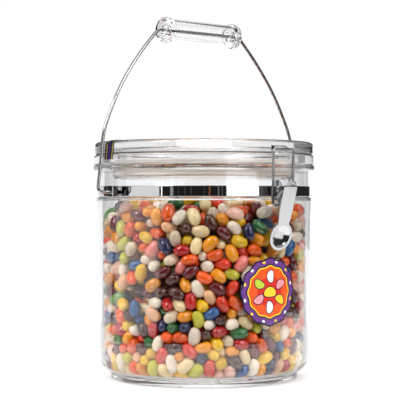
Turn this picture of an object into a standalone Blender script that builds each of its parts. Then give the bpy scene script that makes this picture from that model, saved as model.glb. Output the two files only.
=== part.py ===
"""A clear clamp-lid canister with a wire bail, full of jelly beans.

Metres, +Z up. The origin is the centre of the foot's flat underside. The clasp is on
the -Y side, and the bail's two pivots lie on a line along X. Every piece of the real
object is one closed solid in its own object.
"""
import math
import random

import bmesh
import bpy
from mathutils import Matrix, Vector

# Gaps and roundness
GAP = 0.0003                 # between pieces that touch
RUNNING = 0.0002             # round a pin that turns
WALL_SEGMENTS = 40           # facets round the jar, the lid and their rings
MERGE = 0.000001             # points closer than this are one
EDGE_BREAK = 0.0008          # small rounding of a moulded edge
CUT_HALF_LENGTH = 0.0200     # of a cutter that goes right through
PIN_SEGMENTS = 14

# Jar: heights above the table and outer radii
FOOT_RADIUS = 0.0855
FOOT_HEIGHT = 0.0050
CORNER_HEIGHT = 0.0200       # where the rounded bottom corner meets the wall
CORNER_INSET = 0.0092        # how far the corner pulls in at the foot
WALL_LOW_RADIUS = 0.0958     # the wall leans out a little towards its top
WALL_TOP = 0.1632
WALL_TOP_RADIUS = 0.0984
NECK_RADIUS = 0.0960
FLANGE_BOTTOM = 0.1882
FLANGE_GROOVE = 0.1931       # between the flange's two rounded rings
FLANGE_TOP = 0.2021
LOWER_RING_RADIUS = 0.1013
UPPER_RING_RADIUS = 0.1008
WALL_THICKNESS = 0.0042
FLOOR_TOP = 0.0090
MOUTH_RADIUS = 0.0872        # inside the flange
RING_ROUND = 0.0016          # height of a flange ring's rounded edge
RING_DEPTH = 0.0012          # depth of that edge and of the groove
CORNER_SWEEP = math.radians(78)        # how much of a quarter turn the corner takes
INNER_CORNER = 0.0050        # the tight corner inside, between wall and floor

# Lid, with its plug that reaches down into the mouth
LID_BOTTOM = 0.2031
LID_TOP = 0.2138
LID_RADIUS = 0.1000
LID_EDGE_RADIUS = 0.0055
LID_PANEL_TOP = 0.2116
LID_PANEL_RADIUS = 0.0890
LID_PANEL_THICKNESS = 0.0040
PLUG_BOTTOM = 0.1806
PLUG_RADIUS = 0.0803
PLUG_THICKNESS = 0.0026
PLUG_LIP = 0.0016            # how tall the rim is that keeps the gasket on
GASKET_FIN_RADIUS = 0.0868
SEAL_INNER_RADIUS = 0.0886
SEAL_OUTER_RADIUS = 0.0991

# Steel band round the neck
BAND_BOTTOM = 0.1646
BAND_TOP = 0.1738
BAND_THICKNESS = 0.0011

# Bail: half its span, and the height above its pivots, from a pivot to the grip
PIVOT_HEIGHT = 0.1683
BAIL_LEAN = math.radians(2.6)          # stands a little back from upright
BAIL_WIRE_RADIUS = 0.00145
BAIL_EYE = 0.1190                      # half-span where the wire turns in to its pivot
BAIL_TURN = 0.0040                     # radius of that turn
BAIL_BOW = [(0.1190, 0.0040), (0.1152, 0.0278), (0.1109, 0.0535), (0.1002, 0.0782),
            (0.0869, 0.1012), (0.0692, 0.1243), (0.0500, 0.1452)]
GRIP_HEIGHT = 0.1470
GRIP_HALF_LENGTH = 0.0435
GRIP_RADIUS = 0.0104
COLLAR_RADIUS = 0.0118
GRIP_BORE_RADIUS = BAIL_WIRE_RADIUS + RUNNING
GRIP_CAVITY_RADIUS = 0.0084
BOSS_RADIUS = 0.0050
BOSS_LENGTH = 0.0095
GRIP_SEGMENTS = 16

# Ears that carry the bail
EAR_REACH = 0.1070           # distance of the ear's outer face from the jar's axis
EAR_HALF_WIDTH = 0.0055
EAR_FOOT_WIDTH = 0.0110      # from the pivot's line to the foot's end
EAR_THICKNESS = 0.0009
EAR_SKEW = 0.0008            # the face stands off more at its free end, less at its foot's

# Clasp, in (distance from the jar's axis, height)
LEVER_PIVOT = (0.1073, 0.1712)
LOOP_PIVOT = (0.1050, 0.1570)
LOOP_HOOK = (0.1060, 0.2050)
LEVER_TOP = (0.1153, 0.1726)
SPOON_CENTRE = (0.1033, 0.1300)
LEVER_HALF_WIDTH = 0.0076
LEVER_THICKNESS = 0.0010
CHANNEL_LENGTH = 0.0220      # how far down the lever its side walls reach
SPOON_RADIUS = 0.0125
SPOON_SEGMENTS = 20
SPOON_DISH = [(0.0045, -0.0019), (0.0078, -0.0009), (0.0098, 0.0)]
SPOON_DEPTH = 0.0024
PIN_RADIUS = 0.0015
PIN_HEAD_RADIUS = 0.0026
BRACKET_HALF_WIDTH = 0.0090
BRACKET_THICKNESS = 0.0009
BRACKET_PLATE_TOP = 0.1736    # of the base between the ears
BRACKET_BOTTOM = 0.1618
BRACKET_EYE_RADIUS = 0.0060
BRACKET_EYE_HEIGHT = 0.1727
LOOP_WIRE_RADIUS = 0.00115
LOOP_HALF_WIDTH = 0.0116
LOOP_END_HALF_WIDTH = 0.0056
CATCH_HALF_WIDTH = 0.0082

# Contents
FILL_HEIGHT = 0.1720
BEAN_COLUMNS = 52
BEAN_ROWS = 18
BEAN_RELIEF = 0.0032         # how far the heap falls back between two beans
HEAP_SEED = 7

# Stickers, placed by their angle round the jar from the clasp, towards +X
LABEL_ANGLE = math.radians(-4.4)
LABEL_HEIGHT = 0.0826
LABEL_RADIUS = 0.0300
LABEL_THICKNESS = 0.0003
LABEL_LIFT = 0.0005          # clear of the wall, also where its facets bridge the curve
STRIP_ANGLE = math.radians(-95.8)
STRIP_HALF_ANGLE = math.radians(4.2)
STRIP_BOTTOM = 0.1970
STRIP_THICKNESS = 0.0003


# ---------------------------------------------------------------- helpers

def clear_scene():
    """Remove every object, so that the script can be run again in one session."""
    for obj in list(bpy.data.objects):
        bpy.data.objects.remove(obj, do_unlink=True)


def make_material(name, colour, roughness, metallic=0.0, transmission=0.0):
    """Return a Principled material."""
    material = bpy.data.materials.new(name)
    material.use_nodes = True
    shader = material.node_tree.nodes["Principled BSDF"]
    shader.inputs["Base Color"].default_value = (*colour, 1.0)
    shader.inputs["Roughness"].default_value = roughness
    shader.inputs["Metallic"].default_value = metallic
    shader.inputs["Transmission Weight"].default_value = transmission
    return material


def add_object(name, data, material, location=(0.0, 0.0, 0.0)):
    """Link an object with its material at a location."""
    obj = bpy.data.objects.new(name, data)
    data.materials.append(material)
    obj.location = location
    bpy.context.scene.collection.objects.link(obj)
    return obj


def add_mesh(name, bm, material, location=(0.0, 0.0, 0.0)):
    """Turn a closed bmesh into an object, its faces outward and its round sides smooth."""
    bmesh.ops.recalc_face_normals(bm, faces=bm.faces)
    mesh = bpy.data.meshes.new(name)
    bm.to_mesh(mesh)
    bm.free()
    mesh.shade_smooth()
    mesh.set_sharp_from_angle(angle=math.radians(32))
    return add_object(name, mesh, material, location)


def add_wire(name, points, radius, material, location=(0.0, 0.0, 0.0), ends=1.0):
    """Sweep a round wire along points; ends widens its two end points."""
    curve = bpy.data.curves.new(name, "CURVE")
    curve.dimensions = "3D"
    curve.bevel_depth = radius
    curve.bevel_resolution = 2
    curve.use_fill_caps = True
    spline = curve.splines.new("POLY")
    spline.points.add(len(points) - 1)
    for target, point in zip(spline.points, points):
        target.co = (*point, 1.0)
    for end in (spline.points[0], spline.points[-1]):
        end.radius = ends
    return add_object(name, curve, material, location)


def arc(centre, radius, start, end, steps):
    """Points of a plane arc from start to end, in degrees, both ends included."""
    points = []
    for step in range(steps + 1):
        angle = math.radians(start + (end - start) * step / steps)
        points.append((centre[0] + radius * math.cos(angle), centre[1] + radius * math.sin(angle)))
    return points


def rounded(points, radius, steps=3):
    """Replace the inner corners of a route of vectors by bends of one radius."""
    route = [points[0]]
    for before, corner, after in zip(points, points[1:], points[2:]):
        back = (before - corner).normalized()
        ahead = (after - corner).normalized()
        half = back.angle(ahead) / 2
        centre = corner + (back + ahead).normalized() * radius / math.sin(half)
        start = (corner + back * radius / math.tan(half) - centre).normalized()
        end = (corner + ahead * radius / math.tan(half) - centre).normalized()
        for step in range(steps + 1):
            route.append(centre + start.slerp(end, step / steps) * radius)
    route.append(points[-1])
    return route


def smooth_route(points, steps):
    """Pass a Catmull-Rom curve through plane points."""
    ghosts = [2 * points[0] - points[1]] + points + [2 * points[-1] - points[-2]]
    route = []
    for a, b, c, d in zip(ghosts, ghosts[1:], ghosts[2:], ghosts[3:]):
        for step in range(steps):
            t = step / steps
            route.append(0.5 * (2 * b + (c - a) * t + (2 * a - 5 * b + 4 * c - d) * t ** 2
                                + (3 * b - a - 3 * c + d) * t ** 3))
    route.append(points[-1])
    return route


def turned(outline, segments, start=0.0, sweep=2 * math.pi):
    """Spin an outline of (radius, height) points round Z; a part turn gets end faces."""
    bm = bmesh.new()
    full = abs(sweep - 2 * math.pi) < MERGE
    turn = Matrix.Rotation(start, 3, "Z")
    verts = [bm.verts.new(turn @ Vector((0.0, -r, z))) for r, z in outline]
    pairs = list(zip(verts, verts[1:] + verts[:1]))
    if outline[0][0] < MERGE and outline[-1][0] < MERGE:
        pairs.pop()
    edges = [bm.edges.new(pair) for pair in pairs]
    bmesh.ops.spin(bm, geom=verts + edges, cent=(0, 0, 0), axis=(0, 0, 1), angle=sweep,
                   steps=segments, use_merge=full)
    bmesh.ops.remove_doubles(bm, verts=bm.verts, dist=MERGE)
    if not full:
        ends = [edge for edge in bm.edges if edge.is_boundary]
        bmesh.ops.holes_fill(bm, edges=ends)
    return bm


def prism(outline, axis, low, high):
    """Extrude a plane outline along X or Z.

    Along X the outline is (distance from the jar's axis towards -Y, height); along Z it
    is (x, y).
    """
    bm = bmesh.new()
    if axis == "X":
        verts = [bm.verts.new((low, -r, z)) for r, z in outline]
        reach = Vector((high - low, 0, 0))
    else:
        verts = [bm.verts.new((x, y, low)) for x, y in outline]
        reach = Vector((0, 0, high - low))
    face = bm.faces.new(verts)
    top = bmesh.ops.extrude_face_region(bm, geom=[face])["geom"]
    moved = [item for item in top if isinstance(item, bmesh.types.BMVert)]
    bmesh.ops.translate(bm, verts=moved, vec=reach)
    return bm


def rod_along_x(radius, half_length, segments, centre):
    """A plain rod along X, centred at (distance from the jar's axis, height)."""
    bm = bmesh.new()
    bmesh.ops.create_cone(bm, cap_ends=True, segments=segments, radius1=radius, radius2=radius,
                          depth=2 * half_length)
    bmesh.ops.rotate(bm, verts=bm.verts, matrix=Matrix.Rotation(math.pi / 2, 3, "Y"))
    bmesh.ops.translate(bm, verts=bm.verts, vec=(0, -centre[0], centre[1]))
    return bm


def combine(obj, bm, operation):
    """Join a helper body to an object, or cut it away, with a Boolean modifier."""
    helper = add_mesh("guide", bm, obj.data.materials[0])
    helper.hide_render = True
    helper.display_type = "WIRE"
    helper.matrix_world = Matrix.Identity(4)
    modifier = obj.modifiers.new(operation.title(), "BOOLEAN")
    modifier.operation = operation
    modifier.solver = "EXACT"
    modifier.object = helper


def wall_radius(height):
    """Outer radius of the jar's leaning wall."""
    share = (height - CORNER_HEIGHT) / (WALL_TOP - CORNER_HEIGHT)
    return WALL_LOW_RADIUS + share * (WALL_TOP_RADIUS - WALL_LOW_RADIUS)


def front_point(x, spot, origin=(0.0, 0.0)):
    """A point on the clasp's side, from x and (distance from the axis, height)."""
    return Vector((x, origin[0] - spot[0], spot[1] - origin[1]))


# ---------------------------------------------------------------- jar and contents

def bottom_corner(radius, height, inset, drop, steps):
    """Most of a quarter of an ellipse, from the wall in to the bottom."""
    points = []
    for step in range(steps + 1):
        angle = CORNER_SWEEP * step / steps
        points.append((radius - inset * (1 - math.cos(angle)) / (1 - math.cos(CORNER_SWEEP)),
                       height - drop * math.sin(angle) / math.sin(CORNER_SWEEP)))
    return points


def jar_inside():
    """The inside outline, from the middle of the floor up to the mouth."""
    low = WALL_LOW_RADIUS - WALL_THICKNESS
    corner = bottom_corner(low, FLOOR_TOP + INNER_CORNER, INNER_CORNER, INNER_CORNER, 3)
    return ([(0.0, FLOOR_TOP)] + corner[::-1]
            + [(WALL_TOP_RADIUS - WALL_THICKNESS, WALL_TOP - 0.002),
               (NECK_RADIUS - WALL_THICKNESS, WALL_TOP + 0.0030),
               (NECK_RADIUS - WALL_THICKNESS, FLANGE_BOTTOM + 0.0020),
               (MOUTH_RADIUS, FLANGE_BOTTOM + 0.0040),
               (MOUTH_RADIUS, FLANGE_TOP - EDGE_BREAK),
               (MOUTH_RADIUS + EDGE_BREAK, FLANGE_TOP)])


def jar_outside():
    """The outside outline, from the mouth down to the middle of the foot."""
    corner = bottom_corner(WALL_LOW_RADIUS, CORNER_HEIGHT, CORNER_INSET, CORNER_HEIGHT - 0.0062, 3)
    return ([(UPPER_RING_RADIUS - 0.0014, FLANGE_TOP),
             (UPPER_RING_RADIUS, FLANGE_TOP - RING_ROUND),
             (UPPER_RING_RADIUS, FLANGE_GROOVE + RING_ROUND),
             (UPPER_RING_RADIUS - RING_DEPTH, FLANGE_GROOVE),
             (LOWER_RING_RADIUS, FLANGE_GROOVE - RING_ROUND),
             (LOWER_RING_RADIUS, FLANGE_BOTTOM + RING_DEPTH),
             (LOWER_RING_RADIUS - RING_DEPTH, FLANGE_BOTTOM),
             (NECK_RADIUS, FLANGE_BOTTOM - 0.0006),
             (NECK_RADIUS, WALL_TOP + 0.0010),
             (WALL_TOP_RADIUS - 0.0010, WALL_TOP + 0.0006),
             (WALL_TOP_RADIUS, WALL_TOP - 0.0006)]
            + corner
            + [(FOOT_RADIUS - 0.0005, FOOT_HEIGHT + 0.0004),
               (FOOT_RADIUS, FOOT_HEIGHT - 0.0004),
               (FOOT_RADIUS, EDGE_BREAK),
               (FOOT_RADIUS - EDGE_BREAK, 0.0),
               (0.0, 0.0)])


def build_jar(clear):
    """The clear jar: foot, leaning wall, neck and two-ringed flange, in one piece."""
    add_mesh("jar_body", turned(jar_inside() + jar_outside(), WALL_SEGMENTS), clear)


def inside_radius(height):
    """Radius of the jar's inside at a height, from its outline."""
    outline = jar_inside()
    for (r0, z0), (r1, z1) in zip(outline, outline[1:]):
        if z0 <= height <= z1 and z1 > z0:
            return r0 + (r1 - r0) * (height - z0) / (z1 - z0)
    return outline[1][0]


def heap_top(angle, share, rng):
    """Height of the heap's uneven top; it stands higher on the -X side, at the wall."""
    swell = max(0.0, math.cos(angle + math.radians(78))) ** 3 * share ** 4
    return FILL_HEIGHT + 0.0046 * swell + rng.uniform(-0.0020, 0.0022)


def build_beans(sweets):
    """The heap of beans, one solid out to its uneven outline."""
    rng = random.Random(HEAP_SEED)
    bm = bmesh.new()
    facet = math.cos(math.pi / WALL_SEGMENTS)
    bottom = FLOOR_TOP + 2 * GAP
    step = (FILL_HEIGHT - bottom) / BEAN_ROWS
    rings = []
    for row in range(BEAN_ROWS + 1):
        height = bottom + step * row
        ring = []
        for column in range(BEAN_COLUMNS):
            angle = 2 * math.pi * column / BEAN_COLUMNS
            valley = 0.0 if (row + column) % 2 == 0 else BEAN_RELIEF * rng.uniform(0.7, 1.0)
            lift = 0.0 if row == 0 else rng.uniform(-0.0007, 0.0007)
            if row == BEAN_ROWS:
                lift = heap_top(angle, 1.0, rng) - FILL_HEIGHT
            room = min(inside_radius(min(height, height + lift)), inside_radius(height + step))
            reach = room * facet - GAP - valley
            ring.append(bm.verts.new((reach * math.sin(angle), -reach * math.cos(angle),
                                      height + lift)))
        rings.append(ring)
    for share in (0.80, 0.58, 0.34):
        ring = []
        for column in range(BEAN_COLUMNS):
            angle = 2 * math.pi * column / BEAN_COLUMNS
            reach = share * inside_radius(FILL_HEIGHT) * rng.uniform(0.97, 1.03)
            ring.append(bm.verts.new((reach * math.sin(angle), -reach * math.cos(angle),
                                      heap_top(angle, share, rng))))
        rings.append(ring)
    for lower, upper in zip(rings, rings[1:]):
        for i in range(BEAN_COLUMNS):
            j = (i + 1) % BEAN_COLUMNS
            bm.faces.new((lower[i], lower[j], upper[j], upper[i]))
    bm.faces.new(rings[0])
    crown = bm.verts.new((0, 0, FILL_HEIGHT))
    for i in range(BEAN_COLUMNS):
        bm.faces.new((rings[-1][i], rings[-1][(i + 1) % BEAN_COLUMNS], crown))
    add_mesh("jelly_beans", bm, sweets)


# ---------------------------------------------------------------- lid and seals

def lid_outline():
    """From the middle of the panel's top out over the edge, and back up inside the plug."""
    panel_bottom = LID_PANEL_TOP - LID_PANEL_THICKNESS
    edge = (LID_RADIUS - LID_EDGE_RADIUS, LID_TOP - LID_EDGE_RADIUS)
    plug_inside = PLUG_RADIUS - PLUG_THICKNESS
    return ([(0.0, LID_PANEL_TOP), (LID_PANEL_RADIUS, LID_PANEL_TOP),
             (LID_PANEL_RADIUS + 0.0020, LID_TOP - 0.0003)]
            + arc(edge, LID_EDGE_RADIUS, 90, 0, 4)
            + [(LID_RADIUS, LID_BOTTOM + EDGE_BREAK), (LID_RADIUS - EDGE_BREAK, LID_BOTTOM),
               (PLUG_RADIUS, LID_BOTTOM), (PLUG_RADIUS, PLUG_BOTTOM + PLUG_LIP),
               (PLUG_RADIUS + 0.0028, PLUG_BOTTOM + PLUG_LIP), (PLUG_RADIUS + 0.0024, PLUG_BOTTOM),
               (plug_inside, PLUG_BOTTOM), (plug_inside, panel_bottom - 0.0020),
               (plug_inside - 0.0020, panel_bottom), (0.0, panel_bottom)])


def catch_outline():
    """The lid's moulded catch: a seat for the loop's crossbar and a rounded nose."""
    seat = LOOP_WIRE_RADIUS + GAP + 0.00005
    root = LID_RADIUS - 0.0030
    return ([(root, LID_BOTTOM + 0.0010), (root, LID_TOP - 0.0052),
             (LID_RADIUS + 0.0012, LID_TOP - 0.0052),
             (LOOP_HOOK[0] - seat - 0.0004, LOOP_HOOK[1] + 0.0018)]
            + arc(LOOP_HOOK, seat, 180, 270, 3)
            + [(LOOP_HOOK[0] + 0.0008, LOOP_HOOK[1] - seat)]
            + arc((LOOP_HOOK[0] + 0.0014, LOOP_HOOK[1] - seat - 0.0013), 0.0013, 70, -90, 4)
            + [(UPPER_RING_RADIUS + 0.0016, LOOP_HOOK[1] - seat - 0.0026),
               (UPPER_RING_RADIUS + 0.0008, LID_BOTTOM + 0.0010)])


def build_lid(clear):
    """The clear lid with its hollow plug and the catch for the wire loop."""
    lid = add_mesh("lid", turned(lid_outline(), WALL_SEGMENTS), clear)
    combine(lid, prism(catch_outline(), "X", -CATCH_HALF_WIDTH, CATCH_HALF_WIDTH), "UNION")


def build_gasket(silicone):
    """The pale gasket with three fins round the plug; its top fin seals the mouth."""
    inner = PLUG_RADIUS + GAP
    core = PLUG_RADIUS + 0.0029
    bottom = PLUG_BOTTOM + PLUG_LIP + GAP
    outline = [(inner, bottom), (core + 0.0010, bottom + 0.0007), (core, bottom + 0.0030),
               (core + 0.0014, bottom + 0.0066), (core, bottom + 0.0082),
               (GASKET_FIN_RADIUS, bottom + 0.0116), (inner, bottom + 0.0150)]
    add_mesh("lid_gasket", turned(outline, WALL_SEGMENTS), silicone)


def build_rim_seal(dark):
    """The thin dark seal between the lid and the flange."""
    low = FLANGE_TOP + GAP
    high = LID_BOTTOM - GAP
    outline = [(SEAL_INNER_RADIUS, low), (SEAL_OUTER_RADIUS, low),
               (SEAL_OUTER_RADIUS, high), (SEAL_INNER_RADIUS, high)]
    add_mesh("rim_seal", turned(outline, WALL_SEGMENTS), dark)


# ---------------------------------------------------------------- band, ears and bail

def build_band(steel):
    """The polished band round the neck."""
    inner = NECK_RADIUS + GAP
    outer = inner + BAND_THICKNESS
    outline = [(inner, BAND_BOTTOM), (outer, BAND_BOTTOM), (outer, BAND_TOP), (inner, BAND_TOP)]
    add_mesh("neck_band", turned(outline, WALL_SEGMENTS), steel)


def ear_outline(side):
    """Plan of an ear: a skewed face, free at its front, on one foot behind it."""
    seat = NECK_RADIUS + BAND_THICKNESS + 2 * GAP
    foot = seat - 0.0006
    front, rear = EAR_REACH + EAR_SKEW, EAR_REACH - EAR_SKEW
    outline = [(rear, EAR_HALF_WIDTH), (seat + EAR_THICKNESS, EAR_HALF_WIDTH),
               (foot + EAR_THICKNESS, EAR_FOOT_WIDTH), (foot, EAR_FOOT_WIDTH),
               (seat, EAR_HALF_WIDTH - EAR_THICKNESS),
               (rear - EAR_THICKNESS, EAR_HALF_WIDTH - EAR_THICKNESS),
               (front - EAR_THICKNESS, -EAR_HALF_WIDTH), (front, -EAR_HALF_WIDTH)]
    return [(side * x, y) for x, y in outline]


def build_ears(steel):
    """Two ears on the band, each with a hole for an end of the bail."""
    for name, side in (("bail_ear_left", -1), ("bail_ear_right", 1)):
        ear = add_mesh(name, prism(ear_outline(side), "Z", BAND_BOTTOM, BAND_TOP), steel)
        hole = rod_along_x(BAIL_WIRE_RADIUS + RUNNING, 0.002, 12, (0.0, PIVOT_HEIGHT))
        bmesh.ops.translate(hole, verts=hole.verts, vec=(side * EAR_REACH, 0, 0))
        combine(ear, hole, "DIFFERENCE")


def bail_route():
    """The bail's wire, from its left end inside an ear to its right end."""
    end = EAR_REACH - EAR_THICKNESS - 0.0020
    entry = rounded([Vector((end, 0)), Vector((BAIL_EYE, 0)), Vector((BAIL_EYE, 2 * BAIL_TURN))],
                    BAIL_TURN)[:-2]
    bow = smooth_route([Vector(point) for point in BAIL_BOW], 2)
    last = Vector((BAIL_BOW[-1][0] - 0.0025, GRIP_HEIGHT))
    exit_bend = rounded([bow[-2], last, Vector((0.0, GRIP_HEIGHT))], 0.0050)[1:-1]
    half = [entry[0] - Vector((0.0010, 0)), entry[0]] + entry[1:] + bow[:-1] + exit_bend
    return [(-w, h) for w, h in half] + [(w, h) for w, h in half[::-1]]


def build_bail(steel):
    """The wire bail, hung on its pivots and leaning a little back."""
    lean = (math.sin(BAIL_LEAN), math.cos(BAIL_LEAN))
    points = [(w, h * lean[0], h * lean[1]) for w, h in bail_route()]
    add_wire("bail_wire", points, BAIL_WIRE_RADIUS, steel, (0, 0, PIVOT_HEIGHT), ends=1.7)


def grip_outline():
    """The clear grip: (radius, distance along) with its collars, cavity and end bosses."""
    half = [(GRIP_BORE_RADIUS, GRIP_HALF_LENGTH), (COLLAR_RADIUS - 0.0024, GRIP_HALF_LENGTH),
            (COLLAR_RADIUS, GRIP_HALF_LENGTH - 0.0026), (COLLAR_RADIUS, GRIP_HALF_LENGTH - 0.0060),
            (GRIP_RADIUS, GRIP_HALF_LENGTH - 0.0088)]
    cavity_end = GRIP_HALF_LENGTH - 0.0030
    boss_end = GRIP_HALF_LENGTH - BOSS_LENGTH
    inner = [(GRIP_CAVITY_RADIUS, -cavity_end), (BOSS_RADIUS, -cavity_end),
             (BOSS_RADIUS, -boss_end), (GRIP_BORE_RADIUS, -boss_end)]
    outer = half + [(r, -s) for r, s in half[::-1]]
    walls = inner[::-1] + [(r, -s) for r, s in inner]
    return outer + walls


def build_grip(clear):
    """The clear grip, turned about its own axis, which is the wire's straight run."""
    bm = turned(grip_outline(), GRIP_SEGMENTS)
    bmesh.ops.rotate(bm, verts=bm.verts, matrix=Matrix.Rotation(math.pi / 2, 3, "Y"))
    centre = (0, GRIP_HEIGHT * math.sin(BAIL_LEAN),
              PIVOT_HEIGHT + GRIP_HEIGHT * math.cos(BAIL_LEAN))
    add_mesh("bail_grip", bm, clear, centre)


# ---------------------------------------------------------------- clasp

def bracket_outline():
    """Side view of the bracket's ears, round about the pivot and highest above it."""
    back = NECK_RADIUS + BAND_THICKNESS + 2 * GAP
    return ([(back, BAND_BOTTOM + 0.0002), (back, BRACKET_PLATE_TOP),
             (back + 0.0026, BRACKET_PLATE_TOP + 0.0006)]
            + arc((LEVER_PIVOT[0], BRACKET_EYE_HEIGHT), BRACKET_EYE_RADIUS, 165, -45, 7)
            + [(back + 0.0068, BRACKET_BOTTOM), (back + 0.0026, BRACKET_BOTTOM),
               (back + 0.0016, BAND_BOTTOM + 0.0002)])


def build_bracket(steel):
    """The clasp's bracket: a base on the band and two ears with the pivot's holes."""
    bracket = add_mesh("clasp_bracket",
                       prism(bracket_outline(), "X", -BRACKET_HALF_WIDTH, BRACKET_HALF_WIDTH), steel)
    base = NECK_RADIUS + BAND_THICKNESS + 2 * GAP + BRACKET_THICKNESS
    inside = BRACKET_HALF_WIDTH - BRACKET_THICKNESS
    over, reach = BRACKET_PLATE_TOP + 0.02, base + 0.03
    slot = [(base, BRACKET_BOTTOM - 0.01), (base, BRACKET_PLATE_TOP),
            (base - 0.01, BRACKET_PLATE_TOP), (base - 0.01, over),
            (reach, over), (reach, BRACKET_BOTTOM - 0.01)]
    combine(bracket, prism(slot, "X", -inside, inside), "DIFFERENCE")
    hole = rod_along_x(PIN_RADIUS + GAP, CUT_HALF_LENGTH, PIN_SEGMENTS, LEVER_PIVOT)
    combine(bracket, hole, "DIFFERENCE")


def build_pin(steel):
    """The pin that the lever turns on, with a low head outside each ear."""
    head = BRACKET_HALF_WIDTH + GAP
    tip = head + 0.0007
    outline = [(0, -tip), (PIN_HEAD_RADIUS, -tip), (PIN_HEAD_RADIUS, -head), (PIN_RADIUS, -head),
               (PIN_RADIUS, head), (PIN_HEAD_RADIUS, head), (PIN_HEAD_RADIUS, tip), (0, tip)]
    bm = turned(outline, PIN_SEGMENTS)
    bmesh.ops.rotate(bm, verts=bm.verts, matrix=Matrix.Rotation(math.pi / 2, 3, "Y"))
    add_mesh("clasp_pin", bm, steel, front_point(0, LEVER_PIVOT))


def lever_frame():
    """The lever's length and outward directions, from its top edge to its spoon."""
    along = (Vector(SPOON_CENTRE) - Vector(LEVER_TOP)).normalized()
    return along, Vector((-along[1], along[0]))


def lever_spot(along, out):
    """(distance from the axis, height) of a spot on the lever; out is positive outward."""
    length, normal = lever_frame()
    return Vector(LEVER_TOP) + length * along + normal * out


def lever_local(spot):
    """The inverse of lever_spot for a fixed point, such as a pivot."""
    length, normal = lever_frame()
    offset = Vector(spot) - Vector(LEVER_TOP)
    return offset.dot(length), offset.dot(normal)


def lever_cheek(side_verts, bm, x, vertex):
    """One side wall of the lever, round where the pivot and the loop's end go through."""
    pivot = lever_local(LEVER_PIVOT)
    loop = lever_local(LOOP_PIVOT)
    lower = arc(loop, 0.0032, 20, -90, 3)
    upper = arc(pivot, 0.0036, -80, -180, 3)
    edge = [vertex(x, along, out) for along, out in lower + upper]
    bm.faces.new(side_verts + edge)


def spoon_rings(bm, vertex, centre_along):
    """The dished round end, as rings of vertices from its rim inward."""
    rings = []
    for radius, depth in [(SPOON_RADIUS, 0.0)] + SPOON_DISH[::-1]:
        ring = []
        for step in range(SPOON_SEGMENTS):
            angle = 2 * math.pi * step / SPOON_SEGMENTS
            ring.append(vertex(radius * math.sin(angle), centre_along - radius * math.cos(angle),
                               depth))
        rings.append(ring)
    for outer, inner in zip(rings, rings[1:]):
        for i in range(SPOON_SEGMENTS):
            j = (i + 1) % SPOON_SEGMENTS
            bm.faces.new((outer[i], outer[j], inner[j], inner[i]))
    middle = vertex(0.0, centre_along, -SPOON_DEPTH)
    for i in range(SPOON_SEGMENTS):
        bm.faces.new((rings[-1][i], rings[-1][(i + 1) % SPOON_SEGMENTS], middle))
    return rings[0]


def build_lever(steel):
    """The lever, bent from sheet: a channel at its top, a tapered strip and a spoon."""
    bm = bmesh.new()

    def vertex(x, along, out):
        return bm.verts.new(front_point(x, lever_spot(along, out), LEVER_PIVOT))

    centre_along = lever_local(SPOON_CENTRE)[0]
    rim = spoon_rings(bm, vertex, centre_along)
    joint = [rim[index] for index in (-2, -1, 0, 1, 2)]
    rows = []
    for along in (0.0, CHANNEL_LENGTH / 2, CHANNEL_LENGTH):
        rows.append([vertex(LEVER_HALF_WIDTH * share, along, 0.0) for share in (-1, -0.5, 0, 0.5, 1)])
    rows.append(joint)
    for upper, lower in zip(rows, rows[1:]):
        for i in range(4):
            bm.faces.new((upper[i], upper[i + 1], lower[i + 1], lower[i]))
    for side, x in ((0, -LEVER_HALF_WIDTH), (4, LEVER_HALF_WIDTH)):
        lever_cheek([rows[0][side], rows[1][side], rows[2][side]], bm, x, vertex)
    bmesh.ops.recalc_face_normals(bm, faces=bm.faces)
    if rim[0].normal.y > 0:
        bmesh.ops.reverse_faces(bm, faces=bm.faces)
    mesh = bpy.data.meshes.new("clasp_lever")
    bm.to_mesh(mesh)
    bm.free()
    lever = add_object("clasp_lever", mesh, steel, front_point(0, LEVER_PIVOT))
    sheet = lever.modifiers.new("Sheet", "SOLIDIFY")
    sheet.thickness = LEVER_THICKNESS
    sheet.offset = -1.0
    sheet.use_even_offset = True
    hole = rod_along_x(PIN_RADIUS + RUNNING, CUT_HALF_LENGTH, PIN_SEGMENTS, LEVER_PIVOT)
    combine(lever, hole, "DIFFERENCE")
    hole = rod_along_x(LOOP_WIRE_RADIUS + RUNNING, CUT_HALF_LENGTH, PIN_SEGMENTS, LOOP_PIVOT)
    combine(lever, hole, "DIFFERENCE")


def build_loop(steel):
    """The wire loop, hung in the lever and hooked over the lid's catch."""
    corners = [front_point(LOOP_END_HALF_WIDTH, LOOP_PIVOT, LOOP_PIVOT),
               front_point(LOOP_HALF_WIDTH, LOOP_PIVOT, LOOP_PIVOT),
               front_point(LOOP_HALF_WIDTH, LOOP_HOOK, LOOP_PIVOT),
               front_point(0.0, LOOP_HOOK, LOOP_PIVOT)]
    half = rounded(corners, 0.0025)[:-1]
    points = half + [Vector((-p.x, p.y, p.z)) for p in half[::-1]]
    add_wire("clasp_loop", points, LOOP_WIRE_RADIUS, steel, front_point(0, LOOP_PIVOT))


# ---------------------------------------------------------------- stickers

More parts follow.
